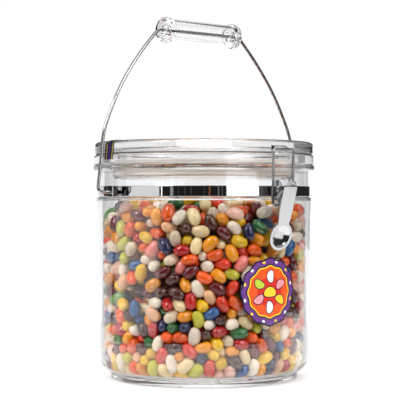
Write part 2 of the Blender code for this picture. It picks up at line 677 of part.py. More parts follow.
def build_label(print_colour):
    """The round sticker on the wall under the clasp, bent to the wall."""
    bm = bmesh.new()
    steps = 28
    layers = []
    for lift in (LABEL_LIFT, LABEL_LIFT + LABEL_THICKNESS):
        rings = []
        for share in (1.0, 0.55):
            ring = []
            for step in range(steps):
                turn = 2 * math.pi * step / steps
                height = LABEL_HEIGHT + share * LABEL_RADIUS * math.sin(turn)
                angle = LABEL_ANGLE + share * LABEL_RADIUS * math.cos(turn) / WALL_TOP_RADIUS
                reach = wall_radius(height) + lift
                ring.append(bm.verts.new((reach * math.sin(angle), -reach * math.cos(angle), height)))
            rings.append(ring)
        reach = wall_radius(LABEL_HEIGHT) + lift
        middle = bm.verts.new((reach * math.sin(LABEL_ANGLE), -reach * math.cos(LABEL_ANGLE),
                               LABEL_HEIGHT))
        for i in range(steps):
            j = (i + 1) % steps
            bm.faces.new((rings[0][i], rings[0][j], rings[1][j], rings[1][i]))
            bm.faces.new((rings[1][i], rings[1][j], middle))
        layers.append(rings[0])
    for i in range(steps):
        j = (i + 1) % steps
        bm.faces.new((layers[0][i], layers[0][j], layers[1][j], layers[1][i]))
    add_mesh("front_label", bm, print_colour)


def strip_outline(lift):
    """The strip's path over the lid's edge and down on to the flange, lifted outward."""
    edge = (LID_RADIUS - LID_EDGE_RADIUS, LID_TOP - LID_EDGE_RADIUS)
    return ([(LID_PANEL_RADIUS + 0.0030, LID_TOP + lift)]
            + arc(edge, LID_EDGE_RADIUS + lift, 90, 0, 4)
            + [(LID_RADIUS + lift, LID_BOTTOM + 0.0010), (UPPER_RING_RADIUS + lift, FLANGE_TOP - 0.0012),
               (UPPER_RING_RADIUS + lift, STRIP_BOTTOM)])


def build_strip(print_colour):
    """The narrow sealing strip that ties the lid to the flange."""
    inner = strip_outline(GAP)
    outer = strip_outline(GAP + STRIP_THICKNESS)
    bm = turned(inner + outer[::-1], 2, STRIP_ANGLE - STRIP_HALF_ANGLE, 2 * STRIP_HALF_ANGLE)
    add_mesh("seal_strip", bm, print_colour)


# ---------------------------------------------------------------- whole object

def main():
    """Build every piece."""
    clear_scene()
    clear = make_material("clear_acrylic", (0.93, 0.95, 0.96), 0.03, transmission=0.9)
    steel = make_material("polished_steel", (0.75, 0.75, 0.76), 0.12, metallic=1.0)
    silicone = make_material("pale_silicone", (0.62, 0.55, 0.50), 0.5)
    dark = make_material("dark_seal", (0.02, 0.02, 0.02), 0.5)
    sweets = make_material("bean_mix", (0.75, 0.32, 0.16), 0.3)
    label_print = make_material("label_print", (0.80, 0.16, 0.04), 0.35)
    strip_print = make_material("strip_print", (0.08, 0.04, 0.16), 0.35)
    build_jar(clear)
    build_beans(sweets)
    build_lid(clear)
    build_gasket(silicone)
    build_rim_seal(dark)
    build_band(steel)
    build_ears(steel)
    build_bail(steel)
    build_grip(clear)
    build_bracket(steel)
    build_pin(steel)
    build_lever(steel)
    build_loop(steel)
    build_label(label_print)
    build_strip(strip_print)


main()
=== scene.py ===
"""The looks of a clear clamp-lid canister full of jelly beans, dressed on its CAD frame.

Metres, +Z up, in the CAD's frame: the jar's axis is Z, the clasp is on the -Y side and
the bail's pivots lie along X. Every piece rides on the CAD body that carries it.
"""
import math

import bmesh
import bpy
import numpy as np
from mathutils import Matrix, Vector, kdtree


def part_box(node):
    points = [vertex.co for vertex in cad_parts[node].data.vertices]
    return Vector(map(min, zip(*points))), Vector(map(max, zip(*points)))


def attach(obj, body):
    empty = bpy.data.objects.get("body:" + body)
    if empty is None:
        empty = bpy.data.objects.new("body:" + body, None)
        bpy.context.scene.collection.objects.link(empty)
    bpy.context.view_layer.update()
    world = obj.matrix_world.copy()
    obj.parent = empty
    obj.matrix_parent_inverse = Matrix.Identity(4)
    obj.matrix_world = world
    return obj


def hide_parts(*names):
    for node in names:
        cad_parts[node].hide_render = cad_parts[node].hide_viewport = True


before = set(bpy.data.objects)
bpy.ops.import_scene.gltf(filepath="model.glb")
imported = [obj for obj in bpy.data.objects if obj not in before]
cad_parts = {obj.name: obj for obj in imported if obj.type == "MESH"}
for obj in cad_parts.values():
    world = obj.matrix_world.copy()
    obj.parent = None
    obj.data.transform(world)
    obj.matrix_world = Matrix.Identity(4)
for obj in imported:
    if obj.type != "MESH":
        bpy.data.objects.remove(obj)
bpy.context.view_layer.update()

# ---------------------------------------------------------------- the CAD's own numbers
GAP, BORE_CLEARANCE = 0.0003, 0.0002
INNER_CORNER = 0.0050
FOOT_RADIUS, FOOT_HEIGHT = 0.0855, 0.0050
CORNER_HEIGHT, CORNER_INSET, CORNER_DROP, CORNER_SWEEP = 0.0200, 0.0092, 0.0138, math.radians(78)
WALL_LOW_RADIUS, WALL_TOP_RADIUS, WALL_TOP = 0.0958, 0.0984, 0.1632
NECK_RADIUS, WALL_THICKNESS, FLOOR_TOP, MOUTH_RADIUS = 0.0960, 0.0042, 0.0090, 0.0872
FLANGE_BOTTOM, FLANGE_GROOVE = 0.1882, 0.1931
FLANGE_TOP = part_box("jar_body")[1].z
LOWER_RING_RADIUS, UPPER_RING_RADIUS, RING_DEPTH = 0.1013, 0.1008, 0.0012
LID_BOTTOM, LID_TOP = 0.2031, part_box("lid")[1].z
LID_RADIUS, LID_EDGE_RADIUS = 0.1000, 0.0055
LID_PANEL_TOP, LID_PANEL_RADIUS, LID_PANEL_THICKNESS = 0.2116, 0.0890, 0.0040
PLUG_BOTTOM, PLUG_RADIUS, PLUG_THICKNESS, PLUG_LIP = 0.1806, 0.0803, 0.0026, 0.0016
GASKET_FIN_RADIUS = 0.0868
SEAL_INNER_RADIUS, SEAL_OUTER_RADIUS = 0.0886, 0.0991
BAND_BOTTOM, BAND_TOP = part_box("neck_band")[0].z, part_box("neck_band")[1].z
BAND_THICKNESS = 0.0011
PIVOT_HEIGHT, BAIL_LEAN = 0.1683, math.radians(2.6)
BAIL_WIRE_RADIUS, BAIL_EYE, BAIL_TURN, GRIP_BEND = 0.00145, 0.1190, 0.0040, 0.0050
TIP_RADIUS, TIP_HALF_LENGTH = BAIL_WIRE_RADIUS * 1.65, 0.0005
BAIL_BOW = [(0.1190, 0.0040), (0.1152, 0.0278), (0.1109, 0.0535), (0.1002, 0.0782),
            (0.0869, 0.1012), (0.0692, 0.1243), (0.0500, 0.1452)]
GRIP_HEIGHT, GRIP_HALF_LENGTH, GRIP_RADIUS, COLLAR_RADIUS = 0.1470, 0.0435, 0.0104, 0.0118
GRIP_BORE_RADIUS, GRIP_CAVITY_RADIUS, BOSS_RADIUS, BOSS_LENGTH = 0.00165, 0.0084, 0.0050, 0.0095
EAR_REACH, EAR_HALF_WIDTH, EAR_FOOT_WIDTH = 0.1070, 0.0055, 0.0110
EAR_THICKNESS, EAR_SKEW = 0.0009, 0.0008
LEVER_PIVOT, LOOP_PIVOT, LOOP_HOOK = (0.1073, 0.1712), (0.1050, 0.1570), (0.1060, 0.2050)
LEVER_TOP, SPOON_CENTRE = (0.1153, 0.1726), (0.1033, 0.1300)
LEVER_HALF_WIDTH, LEVER_THICKNESS, CHANNEL_LENGTH = 0.0076, 0.0010, 0.0220
SPOON_RADIUS, SPOON_BOWL_RADIUS, SPOON_DEPTH, SPOON_SEGMENTS = 0.0125, 0.0098, 0.0024, 48
PIN_RADIUS, PIN_HEAD_RADIUS, PIN_HEAD_THICKNESS = 0.0015, 0.0026, 0.0007
LEVER_PIN_LUG, LEVER_LOOP_LUG, LOOP_BEND = 0.0036, 0.0032, 0.0025
BRACKET_HALF_WIDTH, BRACKET_THICKNESS = 0.0090, 0.0009
BRACKET_PLATE_TOP, BRACKET_BOTTOM = 0.1736, 0.1618
BRACKET_EYE_RADIUS, BRACKET_EYE_HEIGHT = 0.0060, 0.1727
LOOP_WIRE_RADIUS, LOOP_HALF_WIDTH, LOOP_END_HALF_WIDTH = 0.00115, 0.0116, 0.0056
CATCH_HALF_WIDTH = 0.0082
LABEL_ANGLE, LABEL_HEIGHT, LABEL_RADIUS, LABEL_LIFT = math.radians(-4.4), 0.0826, 0.0300, 0.0005
LABEL_SCALLOPS, STAR_RADIUS, DOTS_RADIUS = 12, 0.0132, 0.0260
PRINT_LENGTH, PRINT_WIDTH, PRINT_BEND, PRINT_BORDER = 0.0052, 0.0034, 0.0011, 0.0008
FILM, INK_THICKNESS, INK_STEP = 0.0002, 0.00003, 0.00002
STRIP_ANGLE, STRIP_HALF_ANGLE, STRIP_BOTTOM = math.radians(-95.8), math.radians(4.2), 0.1970

# ---------------------------------------------------------------- roundness and finish
LATHE_SEGMENTS, BAND_SEGMENTS, GRIP_SEGMENTS, PIN_SEGMENTS = 176, 240, 72, 32
WIRE_SIDES, ROD_SIDES = 20, 28
FILLET_STEPS, SUPPORT, MOST_TRIM = 5, 0.02, 0.48
DOME_ANGLES = (0.5, 0.95, math.pi / 2)
CUTTER_REACH = 0.02
SHARP_ANGLE, WIRE_SHARP_ANGLE, LEVER_SHARP_ANGLE, STICKER_SHARP_ANGLE = 35.0, 60.0, 40.0, 30.0
ON_AXIS = 1e-9
ACRYLIC_IOR, SILICONE_IOR = 1.49, 1.41

# ---------------------------------------------------------------- the sweets
BEAN_LENGTH, BEAN_WIDTH, BEAN_DEPTH = 0.0158, 0.0104, 0.0098
BEAN_BEND, BEAN_LOPSIDED, BEAN_SIZES = 0.0012, 0.05, (0.92, 1.06)
BEAN_COUNT = 2200
# What stands for a bean while the heap settles: spheres as (place along it, radius).
BEAN_SPHERES = np.array([(-0.0034, 0.0044), (0.0, 0.0052), (0.0034, 0.0044)])
BEAN_CLEARANCE, NEIGHBOUR_REACH = 0.0001, 0.0190
SETTLE_STEPS, STEPS_PER_SEARCH, SINK_STEP, SINK_SHARE = 260, 12, 0.00025, 0.72
START_LOW, START_HIGH, START_RADIUS = (-0.09, -0.09, 0.014), (0.09, 0.09, 0.172), 0.089
CORE_RADIUS, CORE_LOW, CORE_HIGH = 0.0620, 0.0360, 0.1460
HEAP_CORNER, HEAP_TOP, HEAP_SWELL = 0.0135, 0.1745, 0.0048
HEAP_SWELL_ANGLE, HEAP_SWELL_RADIUS = math.radians(78), 0.09
SHOWN_DEPTH, SHOWN_HEIGHT = 0.0125, 0.157
HEART_INSET, HEART_LUMPS = 0.0025, 0.0022
HEAP_SEED = 3

# name: (sRGB, share of the mix, speckled)
FLAVOURS = {
    "white": ((246, 228, 206), 14, False),
    "cream": ((238, 212, 158), 9, False),
    "peach": ((242, 184, 136), 5, False),
    "speckled": ((234, 214, 184), 5, True),
    "yellow": ((238, 190, 8), 18, False),
    "golden": ((240, 152, 8), 13, False),
    "orange": ((242, 90, 8), 12, False),
    "vermilion": ((224, 56, 18), 5, False),
    "red": ((186, 20, 20), 6, False),
    "maroon": ((100, 14, 22), 6, False),
    "chocolate": ((72, 28, 16), 9, False),
    "green": ((44, 104, 50), 3, False),
    "sage": ((112, 152, 88), 2, False),
    "lime": ((194, 190, 48), 4, False),
    "blue": ((28, 88, 148), 4, False),
    "navy": ((34, 36, 76), 1, False),
    "pink": ((236, 132, 120), 2, False),
    "blush": ((246, 192, 170), 5, False),
}


# ---------------------------------------------------------------- materials

def linear(rgb):
    """A colour given as sRGB bytes, as the shader wants it."""
    out = []
    for value in rgb:
        c = value / 255
        out.append(c / 12.92 if c <= 0.04045 else ((c + 0.055) / 1.055) ** 2.4)
    return (*out, 1.0)


def feed(tree, node, **inputs):
    """Set a node's inputs, with _ for a space in a name: a socket is linked, the rest are values."""
    for name, value in inputs.items():
        socket = node.inputs[name.replace("_", " ")]
        if isinstance(value, bpy.types.NodeSocket):
            tree.links.new(value, socket)
        else:
            socket.default_value = value
    return node


def add_node(tree, kind, **inputs):
    """A new shader node with its inputs set."""
    return feed(tree, tree.nodes.new("ShaderNode" + kind), **inputs)


def new_material(name):
    """A Principled material, its node tree and its shader."""
    material = bpy.data.materials.new(name)
    material.use_nodes = True
    tree = material.node_tree
    return material, tree, tree.nodes["Principled BSDF"]


def object_noise(tree, scale, detail=3.0, stretch=None):
    """Noise in the object's own metres; stretch scales the axes apart."""
    source = add_node(tree, "TexCoord").outputs["Object"]
    if stretch:
        source = add_node(tree, "Mapping", Vector=source, Scale=stretch).outputs["Vector"]
    return add_node(tree, "TexNoise", Vector=source, Scale=scale, Detail=detail).outputs["Fac"]


def spread(tree, value, low, high, start=0.3, end=0.7):
    """Map the stretch of a value from start to end on to a range."""
    return add_node(tree, "MapRange", Value=value, From_Min=start, From_Max=end,
                    To_Min=low, To_Max=high).outputs["Result"]


def mix_colours(tree, factor, first, second):
    """Blend two colours."""
    mix = tree.nodes.new("ShaderNodeMix")
    mix.data_type = "RGBA"
    return feed(tree, mix, Factor=factor, A=first, B=second).outputs["Result"]


def add_bump(tree, shader, height, strength, distance):
    """Give the shader a bump."""
    bump = add_node(tree, "Bump", Height=height, Strength=strength, Distance=distance)
    feed(tree, shader, Normal=bump.outputs["Normal"])


def clear_plastic(name):
    """Polished clear acrylic: faint moulding ripples and wiped scratches."""
    material, tree, shader = new_material(name)
    wipes = object_noise(tree, 60.0, 4.0, (1.0, 1.0, 5.0))
    feed(tree, shader, Base_Color=(0.985, 0.988, 0.992, 1.0), Transmission_Weight=1.0,
         IOR=ACRYLIC_IOR, Roughness=spread(tree, wipes, 0.0, 0.03))
    add_bump(tree, shader, object_noise(tree, 22.0, 1.0, (1.0, 1.0, 0.4)), 0.06, 0.0006)
    # Light reaches the sweets through the wall: a shadow ray passes it.
    passing = add_node(tree, "BsdfTransparent", Color=(0.94, 0.94, 0.94, 1.0))
    mix = add_node(tree, "MixShader", Fac=add_node(tree, "LightPath").outputs["Is Shadow Ray"])
    tree.links.new(shader.outputs["BSDF"], mix.inputs[1])
    tree.links.new(passing.outputs["BSDF"], mix.inputs[2])
    feed(tree, tree.nodes["Material Output"], Surface=mix.outputs["Shader"])
    return material


def mirror_steel(name, rough_low, rough_high, grain, shade=0.56):
    """Polished steel with fine drawing marks along the given stretch."""
    material, tree, shader = new_material(name)
    smear = object_noise(tree, 120.0, 4.0, grain)
    feed(tree, shader, Base_Color=(shade, shade, shade * 1.02, 1.0), Metallic=1.0,
         Roughness=spread(tree, smear, rough_low, rough_high))
    add_bump(tree, shader, smear, 0.05, 0.0001)
    return material


def plain_material(name, rgb, rough_low, rough_high, scale, mottle, bump, **more):
    """A mottled surface with its own roughness map, for rubber, paper and printed film."""
    material, tree, shader = new_material(name)
    base = linear(rgb)
    deep = (*[c * (1 - mottle * 2) for c in base[:3]], 1.0)
    noise = object_noise(tree, scale)
    feed(tree, shader, Base_Color=mix_colours(tree, noise, base, deep),
         Roughness=spread(tree, noise, rough_low, rough_high), **more)
    add_bump(tree, shader, noise, bump, 0.0002)
    return material


def bean_material(name, rgb, speckled):
    """A sugar shell: polished, a little uneven in colour, each bean its own shade."""
    material, tree, shader = new_material(name)
    base = Vector(linear(rgb)[:3])
    cloud = object_noise(tree, 260.0, 2.0)
    shade = tree.nodes.new("ShaderNodeAttribute")
    shade.attribute_name = "shade"
    total = tree.nodes.new("ShaderNodeMath")
    total.operation = "MULTIPLY_ADD"
    total.inputs[1].default_value = 0.55
    tree.links.new(cloud, total.inputs[0])
    tree.links.new(shade.outputs["Fac"], total.inputs[2])
    ramp = add_node(tree, "ValToRGB", Fac=total.outputs["Value"])
    deep, pale = ramp.color_ramp.elements
    deep.position, pale.position = 0.10, 0.95
    deep.color = (*(base * 0.72), 1.0)
    pale.color = (*[min(1.0, c * 1.12 + 0.004) for c in base], 1.0)
    colour = ramp.outputs["Color"]
    if speckled:
        specks = spread(tree, object_noise(tree, 1300.0, 2.0), 0.0, 1.0, 0.64, 0.68)
        colour = mix_colours(tree, specks, colour, linear((92, 48, 26)))
    feed(tree, shader, Base_Color=colour, Roughness=spread(tree, cloud, 0.13, 0.24),
         Coat_Weight=0.5, Coat_Roughness=0.07)
    add_bump(tree, shader, object_noise(tree, 700.0, 2.0), 0.10, 0.0002)
    return material


# ---------------------------------------------------------------- mesh tools

def finish_mesh(name, verts, faces, materials, sharp=SHARP_ANGLE, indices=None):
    """A smooth-shaded object from lists."""
    mesh = bpy.data.meshes.new(name)
    mesh.from_pydata([tuple(v) for v in verts], [], faces)
    for material in materials:
        mesh.materials.append(material)
    if indices is not None:
        mesh.polygons.foreach_set("material_index", indices)
    bm = bmesh.new()
    bm.from_mesh(mesh)
    bmesh.ops.remove_doubles(bm, verts=bm.verts, dist=1e-7)
    bmesh.ops.recalc_face_normals(bm, faces=bm.faces)
    bm.to_mesh(mesh)
    bm.free()
    mesh.shade_smooth()
    mesh.set_sharp_from_angle(angle=math.radians(sharp))
    obj = bpy.data.objects.new(name, mesh)
    bpy.context.scene.collection.objects.link(obj)
    return obj


def soften(profile, steps=FILLET_STEPS):
    """Round a closed outline's corners; each point is (radius, height, rounding)."""
    out = []
    count = len(profile)
    for i, (x, y, rounding) in enumerate(profile):
        corner = Vector((x, y))
        before = Vector(profile[i - 1][:2]) - corner
        after = Vector(profile[(i + 1) % count][:2]) - corner
        if rounding <= 0 or x < ON_AXIS:
            out.append(corner)
            continue
        half = before.angle(after) / 2
        trim = min(rounding / math.tan(half), MOST_TRIM * before.length, MOST_TRIM * after.length)
        start = corner + before.normalized() * trim
        end = corner + after.normalized() * trim
        # A support just outside each end keeps the flats beside it flat when shaded smooth.
        out.append(start + before * min(SUPPORT, 0.4 - 0.4 * trim / before.length / MOST_TRIM))
        for step in range(steps + 1):
            t = step / steps
            out.append(start * (1 - t) ** 2 + corner * 2 * t * (1 - t) + end * t ** 2)
        out.append(end + after * min(SUPPORT, 0.4 - 0.4 * trim / after.length / MOST_TRIM))
    return out


def circle(count, radius=1.0):
    """Points round a circle, the first at its right."""
    turns = [2 * math.pi * k / count for k in range(count)]
    return [(radius * math.cos(a), radius * math.sin(a)) for a in turns]


def bridge(first, second, closed=True):
    """Quads between two rows of vertex numbers."""
    after = first[1:] + first[:1]
    beyond = second[1:] + second[:1]
    faces = [list(face) for face in zip(first, after, beyond, second)]
    return faces if closed else faces[:-1]


def skin(rows, closed=True):
    """Quads between each row of vertex numbers and the next."""
    return [face for a, b in zip(rows, rows[1:]) for face in bridge(a, b, closed)]


def fan(row, middle):
    """Triangles from a closed row of vertex numbers to its middle."""
    return [[a, b, middle] for a, b in zip(row, row[1:] + row[:1])]


def add_row(verts, points):
    """Add points to the list of vertices, and return their numbers."""
    first = len(verts)
    verts += points
    return list(range(first, len(verts)))


def round_axis(angle, section):
    """A section of (radius, height) points, turned about Z by an angle from the clasp's side."""
    return [(r * math.sin(angle), -r * math.cos(angle), z) for r, z in section]


def lathe(name, outline, material, segments=LATHE_SEGMENTS):
    """Spin a closed outline of (radius, height) round Z."""
    verts, rings = [], []
    for x, y in outline:
        if x < ON_AXIS:
            rings.append([len(verts)] * segments)
            verts.append((0.0, 0.0, y))
            continue
        rings.append(add_row(verts, [(x * s, -x * c, y) for c, s in circle(segments)]))
    faces = []
    for a, b in zip(rings, rings[1:] + rings[:1]):
        for quad in bridge(a, b):
            face = list(dict.fromkeys(quad))
            if len(face) > 2:
                faces.append(face)
    return finish_mesh(name, verts, faces, [material])


def tube(name, points, radius, material):
    """A round wire swept along a route, with domed ends that lie inside its own length."""
    points = [Vector(p) for p in points]
    tangents = [(b - a).normalized() for a, b in zip(points[:1] + points[:-1], points[1:] + points[-1:])]
    side = tangents[0].orthogonal().normalized()
    last = len(points) - 1
    stations = []
    for i, (point, tangent) in enumerate(zip(points, tangents)):
        side = (side - tangent * side.dot(tangent)).normalized()
        other = tangent.cross(side)
        if 0 < i < last:
            stations.append((point, side, other, 1.0))
            continue
        inward = tangent if i == 0 else -tangent
        dome = [(point + inward * radius * 0.5 * (1 - math.cos(t)), side, other, math.sin(t))
                for t in DOME_ANGLES]
        stations += dome if i == 0 else dome[::-1]
    verts, rings = [], []
    for point, u, v, wide in stations:
        rings.append(add_row(verts, [point + (u * c + v * s) * radius * wide
                                     for c, s in circle(WIRE_SIDES)]))
    faces = skin(rings) + [rings[0][::-1], rings[-1]]
    return finish_mesh(name, verts, faces, [material], WIRE_SHARP_ANGLE)


def prism(name, outline, axis, low, high, material):
    """Extrude a plane outline along X, as (distance from the axis, height), or Z, as (x, y)."""
    if axis == "X":
        verts = [(x, -r, z) for x in (low, high) for r, z in outline]
    else:
        verts = [(x, y, z) for z in (low, high) for x, y in outline]
    n = len(outline)
    lower, upper = list(range(n)), list(range(n, 2 * n))
    return finish_mesh(name, verts, [lower, upper] + bridge(lower, upper), [material])


def cut(obj, cutter, operation="DIFFERENCE"):
    """Apply a Boolean at once, and remove its helper."""
    modifier = obj.modifiers.new("Boolean", "BOOLEAN")
    modifier.operation = operation
    modifier.solver = "EXACT"
    modifier.object = cutter
    bpy.context.view_layer.update()
    graph = bpy.context.evaluated_depsgraph_get()
    mesh = bpy.data.meshes.new_from_object(obj.evaluated_get(graph))
    old = obj.data
    obj.modifiers.clear()
    obj.data = mesh
    bpy.data.meshes.remove(old)
    helper = cutter.data
    bpy.data.objects.remove(cutter)
    bpy.data.meshes.remove(helper)
    obj.data.shade_smooth()
    obj.data.set_sharp_from_angle(angle=math.radians(SHARP_ANGLE))
    return obj


def rod_along_x(name, radius, half_length, centre, material):
    """A plain rod along X, centred at (distance from the jar's axis, height)."""
    outline = [(centre[0] - c, centre[1] + s) for c, s in circle(ROD_SIDES, radius)]
    return prism(name, outline, "X", -half_length, half_length, material)


def lay_along_x(obj, y, height):
    """Turn a lathed piece from Z on to X, and centre it at a place."""
    obj.data.transform(Matrix.Rotation(math.pi / 2, 4, "Y"))
    obj.data.transform(Matrix.Translation((0, y, height)))
    return obj


def arc(centre, radius, start, end, steps):
    """Points of a plane arc, in degrees, both ends included."""
    out = []
    for step in range(steps + 1):
        a = math.radians(start + (end - start) * step / steps)
        out.append((centre[0] + radius * math.cos(a), centre[1] + radius * math.sin(a)))
    return out


def rounded(points, radius, steps=8):
    """Replace the inner corners of a route of vectors by bends of one radius."""
    route = [points[0]]
    for before, corner, after in zip(points, points[1:], points[2:]):
        back, ahead = (before - corner).normalized(), (after - corner).normalized()
        half = back.angle(ahead) / 2
        centre = corner + (back + ahead).normalized() * radius / math.sin(half)
        start = (corner + back * radius / math.tan(half) - centre).normalized()
        end = (corner + ahead * radius / math.tan(half) - centre).normalized()
        for step in range(steps + 1):
            route.append(centre + start.slerp(end, step / steps) * radius)
    route.append(points[-1])
    return route


def smooth_route(points, steps):
    """Pass a Catmull-Rom curve through plane points."""
    ghosts = [2 * points[0] - points[1]] + points + [2 * points[-1] - points[-2]]
    route = []
    for a, b, c, d in zip(ghosts, ghosts[1:], ghosts[2:], ghosts[3:]):
        for step in range(steps):
            t = step / steps
            route.append(0.5 * (2 * b + (c - a) * t + (2 * a - 5 * b + 4 * c - d) * t ** 2
                                + (3 * b - a - 3 * c + d) * t ** 3))
    route.append(points[-1])
    return route


def place(obj, body, slot, *nodes):
    """Put a piece on its body and let it stand for CAD nodes, which it hides; slot, the finish's name,
    is not used.
    """
    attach(obj, body)
    if nodes:
        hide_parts(*nodes)
    return obj


# ---------------------------------------------------------------- jar and lid

def corner_curve(radius, height, inset, drop, steps=14):
    """The bottom corner: most of a quarter of an ellipse, from the wall in."""
    out = []
    for step in range(steps + 1):
        a = CORNER_SWEEP * step / steps
        out.append((radius - inset * (1 - math.cos(a)) / (1 - math.cos(CORNER_SWEEP)),
                    height - drop * math.sin(a) / math.sin(CORNER_SWEEP), 0.0))
    return out


def build_jar(clear):
    """Foot, leaning wall, neck and two-ringed flange, all in one clear moulding."""
    low = WALL_LOW_RADIUS - WALL_THICKNESS
    neck = NECK_RADIUS - WALL_THICKNESS
    profile = [(0.0, FLOOR_TOP, 0.0), (low - 0.0006, FLOOR_TOP, INNER_CORNER),
               (low, CORNER_HEIGHT, 0.0), (WALL_TOP_RADIUS - WALL_THICKNESS, WALL_TOP - 0.0020, 0.0015),
               (neck, WALL_TOP + 0.0030, 0.0015), (neck, FLANGE_BOTTOM + 0.0020, 0.0015),
               (MOUTH_RADIUS, FLANGE_BOTTOM + 0.0040, 0.0015), (MOUTH_RADIUS, FLANGE_TOP, 0.0010),
               (UPPER_RING_RADIUS, FLANGE_TOP, 0.0022),
               (UPPER_RING_RADIUS, FLANGE_GROOVE + 0.0006, 0.0022),
               (UPPER_RING_RADIUS - RING_DEPTH, FLANGE_GROOVE, 0.0004),
               (LOWER_RING_RADIUS, FLANGE_GROOVE - 0.0006, 0.0022),
               (LOWER_RING_RADIUS, FLANGE_BOTTOM, 0.0018),
               (NECK_RADIUS, FLANGE_BOTTOM - 0.0006, 0.0010), (NECK_RADIUS, WALL_TOP + 0.0008, 0.0006),
               (WALL_TOP_RADIUS, WALL_TOP + 0.0004, 0.0012)]
    profile += corner_curve(WALL_LOW_RADIUS, CORNER_HEIGHT, CORNER_INSET, CORNER_DROP)
    profile += [(FOOT_RADIUS - 0.0007, FOOT_HEIGHT + 0.0004, 0.0004),
                (FOOT_RADIUS, FOOT_HEIGHT - 0.0006, 0.0006), (FOOT_RADIUS, 0.0, 0.0012), (0.0, 0.0, 0.0)]
    place(lathe("jar_shell", soften(profile), clear), "root", "acrylic", "jar_body")


def build_lid(clear):
    """The lid's rounded rim, sunk panel and hollow plug, with the catch moulded on."""
    panel_bottom = LID_PANEL_TOP - LID_PANEL_THICKNESS
    inside = PLUG_RADIUS - PLUG_THICKNESS
    profile = [(0.0, LID_PANEL_TOP, 0.0), (LID_PANEL_RADIUS, LID_PANEL_TOP, 0.0012),
               (LID_PANEL_RADIUS + 0.0020, LID_TOP, 0.0016),
               (LID_RADIUS, LID_TOP, LID_EDGE_RADIUS * 1.25), (LID_RADIUS, LID_BOTTOM, 0.0012),
               (PLUG_RADIUS, LID_BOTTOM, 0.0006), (PLUG_RADIUS, PLUG_BOTTOM + PLUG_LIP, 0.0003),
               (PLUG_RADIUS + 0.0028, PLUG_BOTTOM + PLUG_LIP, 0.0004),
               (PLUG_RADIUS + 0.0024, PLUG_BOTTOM, 0.0006), (inside, PLUG_BOTTOM, 0.0008),
               (inside, panel_bottom, 0.0030), (0.0, panel_bottom, 0.0)]
    lid = lathe("lid_shell", soften(profile, 8), clear)
    seat = LOOP_WIRE_RADIUS + GAP + 0.00005
    root = LID_RADIUS - 0.0030
    outline = ([(root, LID_BOTTOM + 0.0010), (root, LID_TOP - 0.0052),
                (LID_RADIUS + 0.0012, LID_TOP - 0.0052),
                (LOOP_HOOK[0] - seat - 0.0004, LOOP_HOOK[1] + 0.0018)]
               + arc(LOOP_HOOK, seat, 180, 270, 8)
               + [(LOOP_HOOK[0] + 0.0008, LOOP_HOOK[1] - seat)]
               + arc((LOOP_HOOK[0] + 0.0014, LOOP_HOOK[1] - seat - 0.0013), 0.0013, 70, -90, 8)
               + [(UPPER_RING_RADIUS + 0.0016, LOOP_HOOK[1] - seat - 0.0026),
                  (UPPER_RING_RADIUS + 0.0008, LID_BOTTOM + 0.0010)])
    catch = prism("catch", outline, "X", -CATCH_HALF_WIDTH, CATCH_HALF_WIDTH, clear)
    cut(lid, catch, "UNION")
    place(lid, "root", "acrylic", "lid")


def build_seals(silicone, dark):
    """The finned gasket round the plug, and the thin dark seal over the flange."""
    inner, core = PLUG_RADIUS + GAP, PLUG_RADIUS + 0.0029
    bottom = PLUG_BOTTOM + PLUG_LIP + GAP
    profile = [(inner, bottom, 0.0), (core + 0.0010, bottom + 0.0007, 0.0006),
               (core, bottom + 0.0030, 0.0006), (core + 0.0014, bottom + 0.0066, 0.0006),
               (core, bottom + 0.0082, 0.0006), (GASKET_FIN_RADIUS, bottom + 0.0116, 0.0005),
               (inner, bottom + 0.0150, 0.0)]
    place(lathe("gasket_ring", soften(profile), silicone), "root", "silicone", "lid_gasket")
    low, high = FLANGE_TOP + GAP, LID_BOTTOM - GAP
    ring = [(SEAL_INNER_RADIUS, low, 0.0), (SEAL_OUTER_RADIUS, low, 0.0001),
            (SEAL_OUTER_RADIUS, high, 0.0001), (SEAL_INNER_RADIUS, high, 0.0)]
    place(lathe("rim_seal_ring", soften(ring, 2), dark), "root", "dark_seal", "rim_seal")


# ---------------------------------------------------------------- the beans

def wall_room(height):
    """The jar's inside radius at each height, above its bottom corner."""
    low = WALL_LOW_RADIUS - WALL_THICKNESS
    top = WALL_TOP_RADIUS - WALL_THICKNESS
    share = np.clip((height - CORNER_HEIGHT) / (WALL_TOP - CORNER_HEIGHT), 0, 1)
    return np.where(height > WALL_TOP - 0.006, NECK_RADIUS - WALL_THICKNESS, low + share * (top - low))


def heap_limit(x, y):
    """How high the heap may stand: a little higher at the wall on the -X side."""
    swell = np.maximum(0, np.cos(np.arctan2(x, -y) + HEAP_SWELL_ANGLE)) ** 3
    return HEAP_TOP + HEAP_SWELL * swell * np.minimum(1, np.hypot(x, y) / HEAP_SWELL_RADIUS) ** 4


def hold_in_jar(points, radius):
    """Push the beans' spheres back inside the wall, the floor and its corner, and the top."""
    low = WALL_LOW_RADIUS - WALL_THICKNESS
    corner_r, corner_z = low - HEAP_CORNER, FLOOR_TOP + HEAP_CORNER
    for _ in range(2):
        rho = np.maximum(np.hypot(points[:, 0], points[:, 1]), 1e-9)
        new = np.minimum(rho, wall_room(points[:, 2]) - radius - BEAN_CLEARANCE)
        out, down = new - corner_r, points[:, 2] - corner_z
        away = np.maximum(np.hypot(out, down), 1e-9)
        limit = np.maximum(HEAP_CORNER - radius, 0.0)
        bad = (out > 0) & (down < 0) & (away > limit)
        pull = np.where(bad, limit / away, 1.0)
        new = np.where(bad, corner_r + out * pull, new)
        points[:, 2] = np.where(bad, corner_z + down * pull, points[:, 2])
        points[:, :2] *= (new / rho)[:, None]
        points[:, 2] = np.maximum(points[:, 2], FLOOR_TOP + radius)
        points[:, 2] = np.minimum(points[:, 2], heap_limit(points[:, 0], points[:, 1]) - radius)


